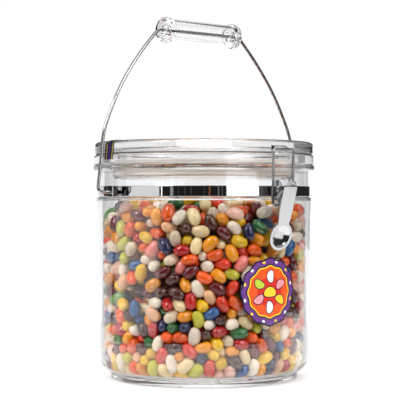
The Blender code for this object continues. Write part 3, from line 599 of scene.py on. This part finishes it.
def hold_off_core(points, radius):
    """Push the spheres out of the core, by its nearest face."""
    rho = np.maximum(np.hypot(points[:, 0], points[:, 1]), 1e-9)
    side = CORE_RADIUS + radius - rho
    low = points[:, 2] - (CORE_LOW - radius)
    high = CORE_HIGH + radius - points[:, 2]
    into = np.minimum(np.minimum(side, low), high)
    inside = into > 0
    by_side = inside & (side == into)
    by_low = inside & ~by_side & (low == into)
    points[:, :2] *= np.where(by_side, (rho + into) / rho, 1.0)[:, None]
    points[:, 2] += np.where(by_low, -into, np.where(inside & ~by_side, into, 0.0))


def near_pairs(centres):
    """Pairs of beans close enough to touch soon, as pairs of their spheres."""
    tree = kdtree.KDTree(len(centres))
    for i, centre in enumerate(centres):
        tree.insert(centre, i)
    tree.balance()
    first, second = [], []
    for i, centre in enumerate(centres):
        for _, j, _ in tree.find_range(centre, NEIGHBOUR_REACH):
            if j > i:
                first.append(i)
                second.append(j)
    first, second = np.array(first), np.array(second)
    return ((first[:, None] * 3 + np.repeat(np.arange(3), 3)).ravel(),
            (second[:, None] * 3 + np.tile(np.arange(3), 3)).ravel())


def settle_beans():
    """Let the beans, as rows of three spheres, push apart and sink until they lie packed."""
    rng = np.random.default_rng(HEAP_SEED)
    centres = np.empty((0, 3))
    while len(centres) < BEAN_COUNT:
        spots = rng.uniform(START_LOW, START_HIGH, (BEAN_COUNT * 3, 3))
        rho = np.hypot(spots[:, 0], spots[:, 1])
        in_core = (rho < CORE_RADIUS) & (spots[:, 2] > CORE_LOW) & (spots[:, 2] < CORE_HIGH)
        centres = np.vstack((centres, spots[(rho < START_RADIUS) & ~in_core]))
    centres = centres[:BEAN_COUNT]
    axes = rng.normal(size=(BEAN_COUNT, 3))
    axes /= np.linalg.norm(axes, axis=1)[:, None]
    size = rng.uniform(*BEAN_SIZES, BEAN_COUNT)
    offsets = BEAN_SPHERES[:, 0] * size[:, None]
    radius = (BEAN_SPHERES[:, 1] * size[:, None]).ravel()
    for step in range(SETTLE_STEPS):
        if step % STEPS_PER_SEARCH == 0:
            first, second = near_pairs(centres)
            reach = radius[first] + radius[second]
        points = (centres[:, None, :] + axes[:, None, :] * offsets[:, :, None]).reshape(-1, 3)
        points[:, 2] -= SINK_STEP * max(0.0, 1 - step / (SINK_SHARE * SETTLE_STEPS))
        apart = points[first] - points[second]
        gap = np.maximum(np.linalg.norm(apart, axis=1), 1e-9)
        hit = gap < reach
        push = apart[hit] * (0.5 * (reach[hit] - gap[hit]) / gap[hit])[:, None]
        a, b, n = first[hit], second[hit], len(points)
        touches = np.maximum(np.bincount(a, minlength=n) + np.bincount(b, minlength=n), 1)
        move = np.stack([np.bincount(a, push[:, k], n) - np.bincount(b, push[:, k], n)
                         for k in range(3)], 1)
        points += move / np.sqrt(touches)[:, None]
        hold_in_jar(points, radius)
        hold_off_core(points, radius)
        rows = points.reshape(-1, 3, 3)
        centres = rows.mean(1)
        axes = rows[:, 2] - rows[:, 0]
        axes /= np.linalg.norm(axes, axis=1)[:, None]
    return centres, axes, size


def bean_form(subdivisions):
    """A unit ball's points and triangles, to be shaped into beans."""
    bm = bmesh.new()
    bmesh.ops.create_icosphere(bm, subdivisions=subdivisions, radius=1.0)
    points = np.array([v.co for v in bm.verts])
    faces = np.array([[v.index for v in f.verts] for f in bm.faces])
    bm.free()
    return points, faces


def bean_shape(ball, rng):
    """One bean: long along x, a little bent and a little lopsided."""
    x, y, z = ball.T
    bend = rng.uniform(0.0, BEAN_BEND)
    lopsided = rng.uniform(-BEAN_LOPSIDED, BEAN_LOPSIDED)
    # Blunter than an ellipsoid: the girth holds on longer before the ends close.
    girth = (1 + lopsided * x) * ((1 - 0.999 * np.abs(x) ** 2.5) ** 0.46
                                  / (1 - 0.999 * x ** 2) ** 0.5)
    return np.stack((x * BEAN_LENGTH / 2,
                     y * girth * BEAN_WIDTH / 2 - bend * (x ** 2 - 0.35),
                     z * girth * BEAN_DEPTH / 2), 1)


def build_beans():
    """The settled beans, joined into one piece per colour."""
    rng = np.random.default_rng(HEAP_SEED + 1)
    centres, axes, size = settle_beans()
    fine, coarse = bean_form(3), bean_form(2)
    names = list(FLAVOURS)
    share = np.array([FLAVOURS[n][1] for n in names], float)
    choice = rng.choice(len(names), BEAN_COUNT, p=share / share.sum())
    rho = np.hypot(centres[:, 0], centres[:, 1])
    shown = (rho > wall_room(centres[:, 2]) - SHOWN_DEPTH) | (centres[:, 2] > SHOWN_HEIGHT)
    parts = {name: ([], [], []) for name in names}
    used = dict.fromkeys(names, 0)
    for i in range(BEAN_COUNT):
        ball, triangles = fine if shown[i] else coarse
        flavour = names[choice[i]]
        x = Vector(axes[i])
        outward = Vector((centres[i][0], centres[i][1], 0.0)).normalized()
        lean = Vector(rng.normal(size=3)) * (0.35 if shown[i] else 2.0)
        z = outward + lean
        z = (z - x * z.dot(x)).normalized()
        if rng.random() < 0.5:
            z = -z
        turn = np.array([x, z.cross(x), z])
        points = bean_shape(ball, rng) * size[i] @ turn + centres[i]
        verts, faces, shades = parts[flavour]
        verts.append(points)
        faces.append(triangles + used[flavour])
        shades.append(np.full(len(points), rng.uniform(0.0, 0.55)))
        used[flavour] += len(points)
    for name in names:
        verts, faces, shades = (np.concatenate(part) for part in parts[name])
        mesh = bpy.data.meshes.new("beans_" + name)
        mesh.from_pydata(verts, [], faces)
        mesh.shade_smooth()
        shade = mesh.attributes.new("shade", "FLOAT", "POINT")
        shade.data.foreach_set("value", shades.astype(np.float32))
        mesh.materials.append(bean_material("bean_" + name, *FLAVOURS[name][::2]))
        piece = bpy.data.objects.new("beans_" + name, mesh)
        bpy.context.scene.collection.objects.link(piece)
        place(piece, "root", "beans")


def build_core():
    """What shows between the beans: a lumpy heart of more of the same, coloured in darkened bean colours
    as painted shade of the heap's depths.
    """
    material, tree, shader = new_material("bean_depths_painted_shade")
    source = add_node(tree, "TexCoord").outputs["Object"]
    cells = add_node(tree, "TexVoronoi", Scale=85.0, Vector=source)
    grey = add_node(tree, "SeparateColor", Color=cells.outputs["Color"])
    ramp = add_node(tree, "ValToRGB", Fac=grey.outputs["Red"])
    ramp.color_ramp.interpolation = "CONSTANT"
    # Darkened bean colours: painted shade deep in the heap.
    shades = [(70, 22, 14), (110, 70, 20), (40, 16, 18), (120, 100, 84), (96, 34, 16), (30, 50, 34)]
    elements = ramp.color_ramp.elements
    elements[1].position = 1 / len(shades)
    for i, shade in enumerate(shades):
        element = elements[i] if i < 2 else elements.new(i / len(shades))
        element.color = linear(shade)
    feed(tree, shader, Base_Color=ramp.outputs["Color"], Roughness=0.5)
    add_bump(tree, shader, cells.outputs["Distance"], 0.8, 0.004)
    rng = np.random.default_rng(HEAP_SEED + 2)
    columns, rows = 72, 22
    verts, rings = [], []
    for row in range(rows + 1):
        height = CORE_LOW + (CORE_HIGH - CORE_LOW) * row / rows
        ring = []
        for c, s in circle(columns):
            r = CORE_RADIUS - HEART_INSET + rng.uniform(-HEART_LUMPS, 0.0)
            ring.append((r * s, -r * c, height))
        rings.append(add_row(verts, ring))
    faces = skin(rings) + [rings[0], rings[-1]]
    place(finish_mesh("bean_heart", verts, faces, [material]), "root", "beans", "jelly_beans")


# ---------------------------------------------------------------- band, ears and bail

def build_band(steel):
    """The polished band round the neck."""
    inner = NECK_RADIUS + GAP
    outer = inner + BAND_THICKNESS
    profile = [(inner, BAND_BOTTOM, 0.0), (outer, BAND_BOTTOM, 0.0003),
               (outer, BAND_TOP, 0.0003), (inner, BAND_TOP, 0.0)]
    place(lathe("band_ring", soften(profile, 3), steel, BAND_SEGMENTS), "root", "steel", "neck_band")


def build_ears(steel):
    """Two skewed lugs, each on one foot on the band, bored for the bail's ends."""
    seat = NECK_RADIUS + BAND_THICKNESS + 2 * GAP
    foot = seat - 0.0006
    front, rear = EAR_REACH + EAR_SKEW, EAR_REACH - EAR_SKEW
    plan = soften([(rear, EAR_HALF_WIDTH, 0.0012), (seat + EAR_THICKNESS, EAR_HALF_WIDTH, 0.0008),
                   (foot + EAR_THICKNESS, EAR_FOOT_WIDTH, 0.0002), (foot, EAR_FOOT_WIDTH, 0.0),
                   (seat, EAR_HALF_WIDTH - EAR_THICKNESS, 0.0004),
                   (rear - EAR_THICKNESS, EAR_HALF_WIDTH - EAR_THICKNESS, 0.0006),
                   (front - EAR_THICKNESS, -EAR_HALF_WIDTH, 0.0003),
                   (front, -EAR_HALF_WIDTH, 0.0003)], 4)
    for side, node in ((-1, "bail_ear_left"), (1, "bail_ear_right")):
        outline = [(side * p[0], p[1]) for p in plan]
        ear = prism(node + "_strap", outline, "Z", BAND_BOTTOM, BAND_TOP, steel)
        hole = rod_along_x("hole", BAIL_WIRE_RADIUS + BORE_CLEARANCE, 0.002, (0.0, PIVOT_HEIGHT), steel)
        hole.data.transform(Matrix.Translation((side * EAR_REACH, 0, 0)))
        cut(ear, hole)
        place(ear, "root", "steel", node)


def bail_route():
    """The bail's wire in its own plane, as (half-span, height above the pivots)."""
    end = EAR_REACH - EAR_THICKNESS - 0.0020
    entry = rounded([Vector((end, 0)), Vector((BAIL_EYE, 0)), Vector((BAIL_EYE, 2 * BAIL_TURN))],
                    BAIL_TURN)[:-2]
    bow = smooth_route([Vector(point) for point in BAIL_BOW], 7)
    last = Vector((BAIL_BOW[-1][0] - 0.0025, GRIP_HEIGHT))
    leave = rounded([bow[-2], last, Vector((0.0, GRIP_HEIGHT))], GRIP_BEND)[1:-1]
    half = [entry[0] - Vector((0.0010, 0)), entry[0]] + entry[1:] + bow[:-1] + leave
    return [(-w, h) for w, h in half] + [(w, h) for w, h in half[::-1]]


def build_bail(steel, clear):
    """The wire bail with its flattened tips, and the clear grip that turns on it."""
    points = [(w, h * math.sin(BAIL_LEAN), PIVOT_HEIGHT + h * math.cos(BAIL_LEAN))
              for w, h in bail_route()]
    wire = tube("bail_bow", points, BAIL_WIRE_RADIUS, steel)
    for side in (-1, 1):
        end = EAR_REACH - EAR_THICKNESS - 0.0030
        tip = rod_along_x("tip", TIP_RADIUS, TIP_HALF_LENGTH, (0.0, PIVOT_HEIGHT), steel)
        tip.data.transform(Matrix.Translation((side * (end + 0.0004), 0, 0)))
        cut(wire, tip, "UNION")
    place(wire, "bail", "steel", "bail_wire")
    grip_half = [(GRIP_BORE_RADIUS, GRIP_HALF_LENGTH, 0.0003),
                 (COLLAR_RADIUS - 0.0012, GRIP_HALF_LENGTH, 0.0018),
                 (COLLAR_RADIUS, GRIP_HALF_LENGTH - 0.0036, 0.0018),
                 (COLLAR_RADIUS, GRIP_HALF_LENGTH - 0.0062, 0.0016),
                 (GRIP_RADIUS, GRIP_HALF_LENGTH - 0.0088, 0.0018)]
    cavity_end, boss_end = GRIP_HALF_LENGTH - 0.0030, GRIP_HALF_LENGTH - BOSS_LENGTH
    inner = [(GRIP_CAVITY_RADIUS, -cavity_end, 0.0010), (BOSS_RADIUS, -cavity_end, 0.0006),
             (BOSS_RADIUS, -boss_end, 0.0006), (GRIP_BORE_RADIUS, -boss_end, 0.0003)]
    profile = (grip_half + [(r, -s, f) for r, s, f in grip_half[::-1]]
               + inner[::-1] + [(r, -s, f) for r, s, f in inner])
    grip = lathe("grip_roller", soften(profile), clear, GRIP_SEGMENTS)
    lay_along_x(grip, GRIP_HEIGHT * math.sin(BAIL_LEAN),
                PIVOT_HEIGHT + GRIP_HEIGHT * math.cos(BAIL_LEAN))
    place(grip, "grip", "acrylic", "bail_grip")


# ---------------------------------------------------------------- clasp

def build_bracket(steel):
    """The clasp's bracket on the band, and the headed pin through it."""
    back = NECK_RADIUS + BAND_THICKNESS + 2 * GAP
    outline = ([(back, BAND_BOTTOM + 0.0002), (back, BRACKET_PLATE_TOP),
                (back + 0.0026, BRACKET_PLATE_TOP + 0.0006)]
               + arc((LEVER_PIVOT[0], BRACKET_EYE_HEIGHT), BRACKET_EYE_RADIUS, 165, -45, 18)
               + [(back + 0.0068, BRACKET_BOTTOM), (back + 0.0026, BRACKET_BOTTOM),
                  (back + 0.0016, BAND_BOTTOM + 0.0002)])
    bracket = prism("clasp_cheeks", outline, "X", -BRACKET_HALF_WIDTH, BRACKET_HALF_WIDTH, steel)
    base = back + BRACKET_THICKNESS
    inside = BRACKET_HALF_WIDTH - BRACKET_THICKNESS
    over, reach = BRACKET_PLATE_TOP + 0.02, base + 0.03
    slot = [(base, BRACKET_BOTTOM - 0.01), (base, BRACKET_PLATE_TOP),
            (base - 0.01, BRACKET_PLATE_TOP), (base - 0.01, over),
            (reach, over), (reach, BRACKET_BOTTOM - 0.01)]
    cut(bracket, prism("slot", slot, "X", -inside, inside, steel))
    cut(bracket, rod_along_x("hole", PIN_RADIUS + GAP, CUTTER_REACH, LEVER_PIVOT, steel))
    place(bracket, "root", "steel", "clasp_bracket")
    head = BRACKET_HALF_WIDTH + GAP
    tip = head + PIN_HEAD_THICKNESS
    profile = [(0.0, -tip, 0.0), (PIN_HEAD_RADIUS, -tip, 0.0005), (PIN_HEAD_RADIUS, -head, 0.0001),
               (PIN_RADIUS, -head, 0.0), (PIN_RADIUS, head, 0.0), (PIN_HEAD_RADIUS, head, 0.0001),
               (PIN_HEAD_RADIUS, tip, 0.0005), (0.0, tip, 0.0)]
    pin = lathe("clasp_rivet", soften(profile, 3), steel, PIN_SEGMENTS)
    place(lay_along_x(pin, -LEVER_PIVOT[0], LEVER_PIVOT[1]), "root", "steel", "clasp_pin")


LEVER_DOWN = (Vector(SPOON_CENTRE) - Vector(LEVER_TOP)).normalized()
LEVER_OUT = Vector((-LEVER_DOWN[1], LEVER_DOWN[0]))


def lever_spot(x, along, out):
    """A point on the lever: across it, down from its top edge, and outward from its face."""
    spot = Vector(LEVER_TOP) + LEVER_DOWN * along + LEVER_OUT * out
    return (x, -spot[0], spot[1])


def lever_local(spot):
    """How far down the lever, and how far outward, a fixed point lies."""
    offset = Vector(spot) - Vector(LEVER_TOP)
    return offset.dot(LEVER_DOWN), offset.dot(LEVER_OUT)


def build_spoon(verts):
    """The lever's dished round end: its faces and the ring of its rim."""
    centre = lever_local(SPOON_CENTRE)[0]
    ball = (SPOON_BOWL_RADIUS ** 2 + SPOON_DEPTH ** 2) / (2 * SPOON_DEPTH)
    bowl = SPOON_BOWL_RADIUS / SPOON_RADIUS
    dish = [(1.0, 0.0), (0.95, 0.0), (0.88, 0.0), (bowl + 0.015, 0.0)]
    for part in (0.99, 0.94, 0.87, 0.79, 0.70, 0.60, 0.49, 0.37, 0.24, 0.12):
        sunk = math.sqrt(ball ** 2 - (part * SPOON_BOWL_RADIUS) ** 2) - (ball - SPOON_DEPTH)
        dish.append((part * bowl, -sunk / SPOON_DEPTH))
    rings = [add_row(verts, [lever_spot(s, centre - c, SPOON_DEPTH * depth)
                             for c, s in circle(SPOON_SEGMENTS, SPOON_RADIUS * share)])
             for share, depth in dish]
    middle, = add_row(verts, [lever_spot(0.0, centre, -SPOON_DEPTH)])
    return skin(rings) + fan(rings[-1], middle), rings[0]


def build_lever(steel):
    """The lever: bent side walls, a tapered strip and a dished round spoon."""
    verts = []
    faces, rim = build_spoon(verts)
    across = 8
    rows = [add_row(verts, [lever_spot(LEVER_HALF_WIDTH * (2 * k / across - 1), along, 0.0)
                            for k in range(across + 1)])
            for along in (0.0, 0.0004, CHANNEL_LENGTH / 2, CHANNEL_LENGTH - 0.0004, CHANNEL_LENGTH)]
    joint = [rim[k] for k in range(-across // 2, across // 2 + 1)]
    faces += skin(rows + [joint], closed=False)
    pivot, loop = lever_local(LEVER_PIVOT), lever_local(LOOP_PIVOT)
    cheek = arc(loop, LEVER_LOOP_LUG, 20, -90, 8) + arc(pivot, LEVER_PIN_LUG, -80, -180, 8)
    for side, x in ((0, -LEVER_HALF_WIDTH), (across, LEVER_HALF_WIDTH)):
        bend = add_row(verts, [lever_spot(x, along, out) for along, out in cheek])
        faces.append([row[side] for row in rows] + bend)
    lever = finish_mesh("clasp_handle", verts, faces, [steel], LEVER_SHARP_ANGLE)
    if sum(p.normal.y * p.area for p in lever.data.polygons) > 0:
        lever.data.flip_normals()
    sheet = lever.modifiers.new("Sheet", "SOLIDIFY")
    sheet.thickness = LEVER_THICKNESS
    sheet.offset = -1.0
    sheet.use_even_offset = True
    for radius, centre in ((PIN_RADIUS, LEVER_PIVOT), (LOOP_WIRE_RADIUS, LOOP_PIVOT)):
        cut(lever, rod_along_x("hole", radius + BORE_CLEARANCE, CUTTER_REACH, centre, steel))
    place(lever, "lever", "steel", "clasp_lever")


def build_loop(steel):
    """The wire loop, hooked over the lid's catch."""
    corners = [Vector((LOOP_END_HALF_WIDTH, -LOOP_PIVOT[0], LOOP_PIVOT[1])),
               Vector((LOOP_HALF_WIDTH, -LOOP_PIVOT[0], LOOP_PIVOT[1])),
               Vector((LOOP_HALF_WIDTH, -LOOP_HOOK[0], LOOP_HOOK[1])),
               Vector((0.0, -LOOP_HOOK[0], LOOP_HOOK[1]))]
    half = rounded(corners, LOOP_BEND)[:-1]
    points = half + [Vector((-p.x, p.y, p.z)) for p in half[::-1]]
    place(tube("clasp_wire", points, LOOP_WIRE_RADIUS, steel), "loop", "steel", "clasp_loop")


# ---------------------------------------------------------------- stickers

def wall_radius(height):
    """Outer radius of the jar's leaning wall."""
    share = (height - CORNER_HEIGHT) / (WALL_TOP - CORNER_HEIGHT)
    return WALL_LOW_RADIUS + share * (WALL_TOP_RADIUS - WALL_LOW_RADIUS)


def on_label(x, y, lift):
    """A point of the label's plan, in metres from its centre, laid on the wall."""
    height = LABEL_HEIGHT + y
    angle = LABEL_ANGLE + x / WALL_TOP_RADIUS
    reach = wall_radius(height) + lift
    return (reach * math.sin(angle), -reach * math.cos(angle), height)


def label_patch(name, outline, lift, thickness, materials, shares, colours):
    """A thin flat shape on the wall: rings of its outline drawn in, each with its colour."""
    n = len(outline)
    cx = sum(p[0] for p in outline) / n
    cy = sum(p[1] for p in outline) / n
    verts = []
    rings = [add_row(verts, [on_label(cx + (x - cx) * share, cy + (y - cy) * share, lift + thickness)
                             for x, y in outline])
             for share in shares]
    middle, = add_row(verts, [on_label(cx, cy, lift + thickness)])
    under = add_row(verts, [on_label(x, y, lift) for x, y in outline])
    faces = skin(rings) + fan(rings[-1], middle) + bridge(under, rings[0]) + [under]
    marks = [colour for colour in colours for _ in range(n)] + [0] * (n + 1)
    return finish_mesh(name, verts, faces, materials, STICKER_SHARP_ANGLE, marks)


def bean_print(x, y, turn, size, border):
    """A flat bean shape of the label's print, grown by a border."""
    shape = []
    for c, s in circle(28):
        px = PRINT_LENGTH * size * c + border * c
        py = PRINT_WIDTH * size * s - PRINT_BEND * size * c ** 2 + border * s
        shape.append((x + px * math.cos(turn) - py * math.sin(turn),
                      y + px * math.sin(turn) + py * math.cos(turn)))
    return shape


def build_label():
    """A plain round sticker: coloured rings and a star of bean shapes, with no lettering."""
    inks = {name: plain_material("ink_" + name, rgb, 0.18, 0.30, 900.0, 0.04, 0.02, Coat_Weight=0.5)
            for name, rgb in (("navy", (18, 20, 52)), ("purple", (104, 54, 130)),
                              ("yellow", (250, 206, 40)), ("orange", (238, 84, 20)),
                              ("red", (214, 40, 26)), ("white", (248, 246, 240)),
                              ("lime", (186, 204, 60)), ("pink", (242, 150, 160)))}
    outline = []
    for c, s in circle(144):
        r = LABEL_RADIUS * (0.975 + 0.025 * math.cos(LABEL_SCALLOPS * math.atan2(s, c)))
        outline.append((r * c, r * s))
    inks_used = [inks[n] for n in ("navy", "purple", "yellow", "orange", "red")]
    shares = (1.0, 0.955, 0.80, 0.765, 0.73, 0.45, 0.20)
    colours = (0, 1, 0, 2, 3, 4, 4)
    patch = label_patch("label_disc", outline, LABEL_LIFT, FILM, inks_used, shares, colours)
    place(patch, "root", "label", "front_label")
    spots = [(0.0, 0.0, 0.0, "yellow", 1.25)]
    for k, ink in enumerate(("white", "lime", "pink", "white", "yellow", "pink")):
        a = math.radians(90 + 60 * k)
        spots.append((STAR_RADIUS * math.cos(a), STAR_RADIUS * math.sin(a), a, ink, 1.0))
    for k in range(12):
        a = math.radians(15 + 30 * k)
        spots.append((DOTS_RADIUS * math.cos(a), DOTS_RADIUS * math.sin(a), a + math.pi / 2,
                      "yellow" if k % 2 else "white", 0.30))
    for i, (x, y, turn, ink, size) in enumerate(spots):
        layers = [(1, 0.0, INK_STEP, ink)]
        if size > 0.5:
            layers.insert(0, (0, PRINT_BORDER, 0.0, "navy"))
        for layer, border, lift, colour in layers:
            shape = bean_print(x, y, turn, size, border)
            piece = label_patch(f"label_bean_{i}_{layer}", shape, LABEL_LIFT + FILM + lift,
                                INK_THICKNESS, [inks[colour]], (1.0, 0.5), (0, 0))
            place(piece, "root", "label")


def build_strip():
    """The narrow seal over the lid's edge, printed in lengthwise stripes."""
    stripes = [("black", (14, 14, 16), 0.17), ("olive", (128, 112, 64), 0.12),
               ("dark", (22, 22, 34), 0.12), ("violet", (40, 26, 84), 0.26),
               ("dark_two", (20, 20, 30), 0.12), ("olive_two", (128, 112, 64), 0.16),
               ("edge", (30, 28, 24), 0.05)]
    inks = [plain_material("strip_" + name, rgb, 0.15, 0.28, 900.0, 0.05, 0.02, Coat_Weight=0.5)
            for name, rgb, _ in stripes]
    edge = (LID_RADIUS - LID_EDGE_RADIUS, LID_TOP - LID_EDGE_RADIUS)

    def path(lift):
        return ([(LID_PANEL_RADIUS + 0.0030, LID_TOP + lift)]
                + arc(edge, LID_EDGE_RADIUS + lift, 90, 0, 12)
                + [(LID_RADIUS + lift, LID_BOTTOM + 0.0010),
                   (UPPER_RING_RADIUS + lift, FLANGE_TOP - 0.0012),
                   (UPPER_RING_RADIUS + lift, STRIP_BOTTOM)])

    section = path(GAP) + path(GAP + FILM)[::-1]
    shares, colours = [0.0], []
    for index, (_, _, share) in enumerate(stripes):
        for part in (0.5, 1.0):
            shares.append(sum(s[2] for s in stripes[:index]) + share * part)
            colours.append(index)
    verts, start = [], STRIP_ANGLE - STRIP_HALF_ANGLE
    rings = [add_row(verts, round_axis(start + 2 * STRIP_HALF_ANGLE * min(share, 1.0), section))
             for share in shares]
    faces = skin(rings) + [rings[0], rings[-1]]
    marks = [colour for colour in colours for _ in section] + [0, len(stripes) - 1]
    tape = finish_mesh("seal_tape", verts, faces, inks, STICKER_SHARP_ANGLE, marks)
    place(tape, "root", "strip", "seal_strip")


# ---------------------------------------------------------------- studio

CAMERA_AZIMUTH = -40.0
CAMERA_DISTANCE, CAMERA_HEIGHT = 1.218, 0.1615
CAMERA_LENS, CAMERA_SENSOR, CAMERA_SHIFT = 119.2, 36.0, -0.010
FLOOR_RADIUS, FLOOR_LEVEL, AIM_HEIGHT = 12.0, -0.0001, 0.10

# name, azimuth from the camera, elevation, distance, size, power
LAMPS = [("key_light", -48, 42, 1.5, 0.42, 8.0), ("fill_light", 42, 38, 1.6, 0.38, 4.3),
         ("top_light", 170, 70, 1.5, 0.8, 6)]

# What gloss and clear plastic show of the room. Each card is bent round the jar: azimuths
# in degrees, 0 behind the camera and counted towards its right, its section as (distance,
# height) points, its brightness and colour, and whether gloss, plastic or both show it.
WHITE, AMBER = (1.0, 1.0, 1.0), (1.0, 0.45, 0.2)
GLOSS, THROUGH, BOTH = (True, False), (False, True), (True, True)
WALL = [(2.6, 2.4), (2.6, 0.0005)]
FAR_WALL, APRON = WALL + [(0.42, 0.0005)], [(0.42, 0.0005), (0.12, 0.0005)]
PANEL, STREAK = [(2.5, 2.2), (2.5, 0.001)], [(2.5, 1.2), (2.5, 0.001)]
CARDS = [(-112, 59, WALL + [(0.30, 0.0005)], 0.02, WHITE, BOTH),
         (59, 120, [(2.6, 0.50), (2.6, 0.0005), (0.55, 0.0005)], 0.04, WHITE, BOTH),
         (59, 120, [(2.6, 2.4), (2.6, 0.51)], 0.60, WHITE, BOTH),
         (59, 120, [(0.55, 0.0006), (0.25, 0.0006)], 1.28, WHITE, GLOSS),
         (120, 159, [(2.6, 0.35), (2.6, 0.0005)], 0.03, WHITE, GLOSS),
         (-135, -112, WALL, 0.03, WHITE, GLOSS),
         (120, 142, FAR_WALL, 0.30, WHITE, THROUGH),
         (142, 172, FAR_WALL, 0.84, WHITE, THROUGH),
         (-142, -112, FAR_WALL, 0.25, WHITE, THROUGH),
         (-172, -142, FAR_WALL, 0.84, WHITE, THROUGH),
         (112, 172, APRON, 0.55, WHITE, THROUGH),
         (-172, -112, APRON, 0.55, WHITE, THROUGH),
         (100, 260, [(2.6, 1.9), (0.7, 2.6)], 0.05, WHITE, BOTH),
         (112, 248, [(2.6, 1.9), (2.6, 0.36)], 0.05, WHITE, GLOSS),
         (-108.2, -47.1, [(2.5, 0.5), (2.5, 0.001), (0.38, 0.001)], 1.15, WHITE, BOTH),
         (-76, -47.1, [(2.5, 2.2), (2.5, 0.5)], 1.15, WHITE, BOTH),
         (-44.9, -43.8, PANEL, 2.5, WHITE, BOTH), (-35.0, -31.8, STREAK, 0.45, WHITE, BOTH),
         (-26.5, -26.0, STREAK, 0.12, WHITE, BOTH), (-19.6, -19.2, STREAK, 0.16, WHITE, BOTH),
         (-13.5, -13.1, STREAK, 0.20, WHITE, BOTH), (0.2, 0.6, STREAK, 0.14, WHITE, BOTH),
         (5.1, 6.3, STREAK, 0.40, AMBER, BOTH), (14.6, 15.2, STREAK, 0.50, WHITE, BOTH),
         (18.4, 19.0, STREAK, 0.25, WHITE, BOTH),
         (23.2, 58.9, [(2.5, 2.2), (2.5, 0.12)], 2.2, WHITE, BOTH)]


def emission(name, strength, colour):
    """A plain glowing surface."""
    material = bpy.data.materials.new(name)
    material.use_nodes = True
    tree = material.node_tree
    tree.nodes.clear()
    glow = add_node(tree, "Emission", Color=(*colour, 1.0), Strength=strength)
    add_node(tree, "OutputMaterial", Surface=glow.outputs["Emission"])
    return material


def build_card(name, start, end, section, strength, colour, shown):
    """A card bent round the jar, seen only in gloss or through plastic."""
    steps = max(1, round((end - start) / 5))
    verts, rows = [], []
    for k in range(steps + 1):
        angle = math.radians(start + (end - start) * k / steps + CAMERA_AZIMUTH)
        rows.append(add_row(verts, round_axis(angle, section)))
    obj = finish_mesh(name, verts, skin(rows, closed=False), [emission(name, strength, colour)])
    obj.visible_camera = obj.visible_diffuse = obj.visible_shadow = False
    obj.visible_glossy, obj.visible_transmission = shown


def area_light(name, azimuth, elevation, distance, size, power):
    """A soft lamp that looks at the jar, out of the camera's sight."""
    light = bpy.data.lights.new(name, "AREA")
    light.size = size
    light.energy = power
    lamp = bpy.data.objects.new(name, light)
    a, e = math.radians(azimuth + CAMERA_AZIMUTH), math.radians(elevation)
    way = Vector((math.sin(a) * math.cos(e), -math.cos(a) * math.cos(e), math.sin(e)))
    lamp.location = way * distance + Vector((0, 0, AIM_HEIGHT))
    lamp.rotation_euler = way.to_track_quat("Z", "Y").to_euler()
    lamp.visible_camera = False
    bpy.context.scene.collection.objects.link(lamp)


def build_studio():
    """Pale floor and air, soft lamps, and dark and bright cards for the gloss to show."""
    scene = bpy.context.scene
    scene.world = bpy.data.worlds.new("studio_air")
    scene.world.use_nodes = True
    tree = scene.world.node_tree
    feed(tree, tree.nodes["Background"], Color=(1.0, 1.0, 1.0, 1.0), Strength=1.0)
    scene.view_settings.view_transform = "Standard"
    # Enough bounces for light to come back out of the thick foot.
    scene.cycles.max_bounces = 32
    scene.cycles.transmission_bounces = 32
    scene.cycles.glossy_bounces = 16

    paper = plain_material("studio_paper", (250, 250, 250), 0.6, 0.7, 300.0, 0.0, 0.05,
                           Emission_Color=(1.0, 1.0, 1.0, 1.0), Emission_Strength=0.22)
    rim = [(x, y, FLOOR_LEVEL) for x, y in circle(48, FLOOR_RADIUS)]
    finish_mesh("studio_floor", rim, [list(range(48))], [paper])

    for i, card in enumerate(CARDS):
        build_card(f"studio_card_{i}", *card)
    for lamp in LAMPS:
        area_light(*lamp)


def build_camera():
    """The photograph's view: level, from the front left."""
    a = math.radians(CAMERA_AZIMUTH)
    data = bpy.data.cameras.new("view")
    data.lens = CAMERA_LENS
    data.sensor_width = CAMERA_SENSOR
    data.shift_x = CAMERA_SHIFT
    camera = bpy.data.objects.new("view", data)
    camera.location = (CAMERA_DISTANCE * math.sin(a), -CAMERA_DISTANCE * math.cos(a), CAMERA_HEIGHT)
    camera.rotation_euler = (math.pi / 2, 0.0, a)
    bpy.context.scene.collection.objects.link(camera)
    bpy.context.scene.camera = camera


def main():
    """Dress every piece."""
    build_camera()
    clear = clear_plastic("clear_acrylic")
    band_steel = mirror_steel("band_steel", 0.02, 0.06, (1.0, 1.0, 9.0))
    clasp_steel = mirror_steel("clasp_steel", 0.09, 0.17, (6.0, 1.0, 1.0))
    # The wire's steel is a darker copy of the band's polished steel: painted shade for the wire's darker
    # reflections.
    wire_steel_painted_shade = mirror_steel("wire_steel_painted_shade", 0.06, 0.14, (1.0, 1.0, 0.3), 0.40)
    silicone = plain_material("pale_silicone", (250, 243, 236), 0.3, 0.45, 400.0, 0.02, 0.05,
                              Transmission_Weight=0.35, IOR=SILICONE_IOR)
    dark = plain_material("dark_seal", (16, 16, 17), 0.4, 0.6, 400.0, 0.1, 0.05)
    build_jar(clear)
    build_lid(clear)
    build_seals(silicone, dark)
    build_beans()
    build_core()
    build_band(band_steel)
    build_ears(band_steel)
    build_bail(wire_steel_painted_shade, clear)
    build_bracket(clasp_steel)
    build_lever(clasp_steel)
    build_loop(wire_steel_painted_shade)
    build_label()
    build_strip()
    build_studio()


main()
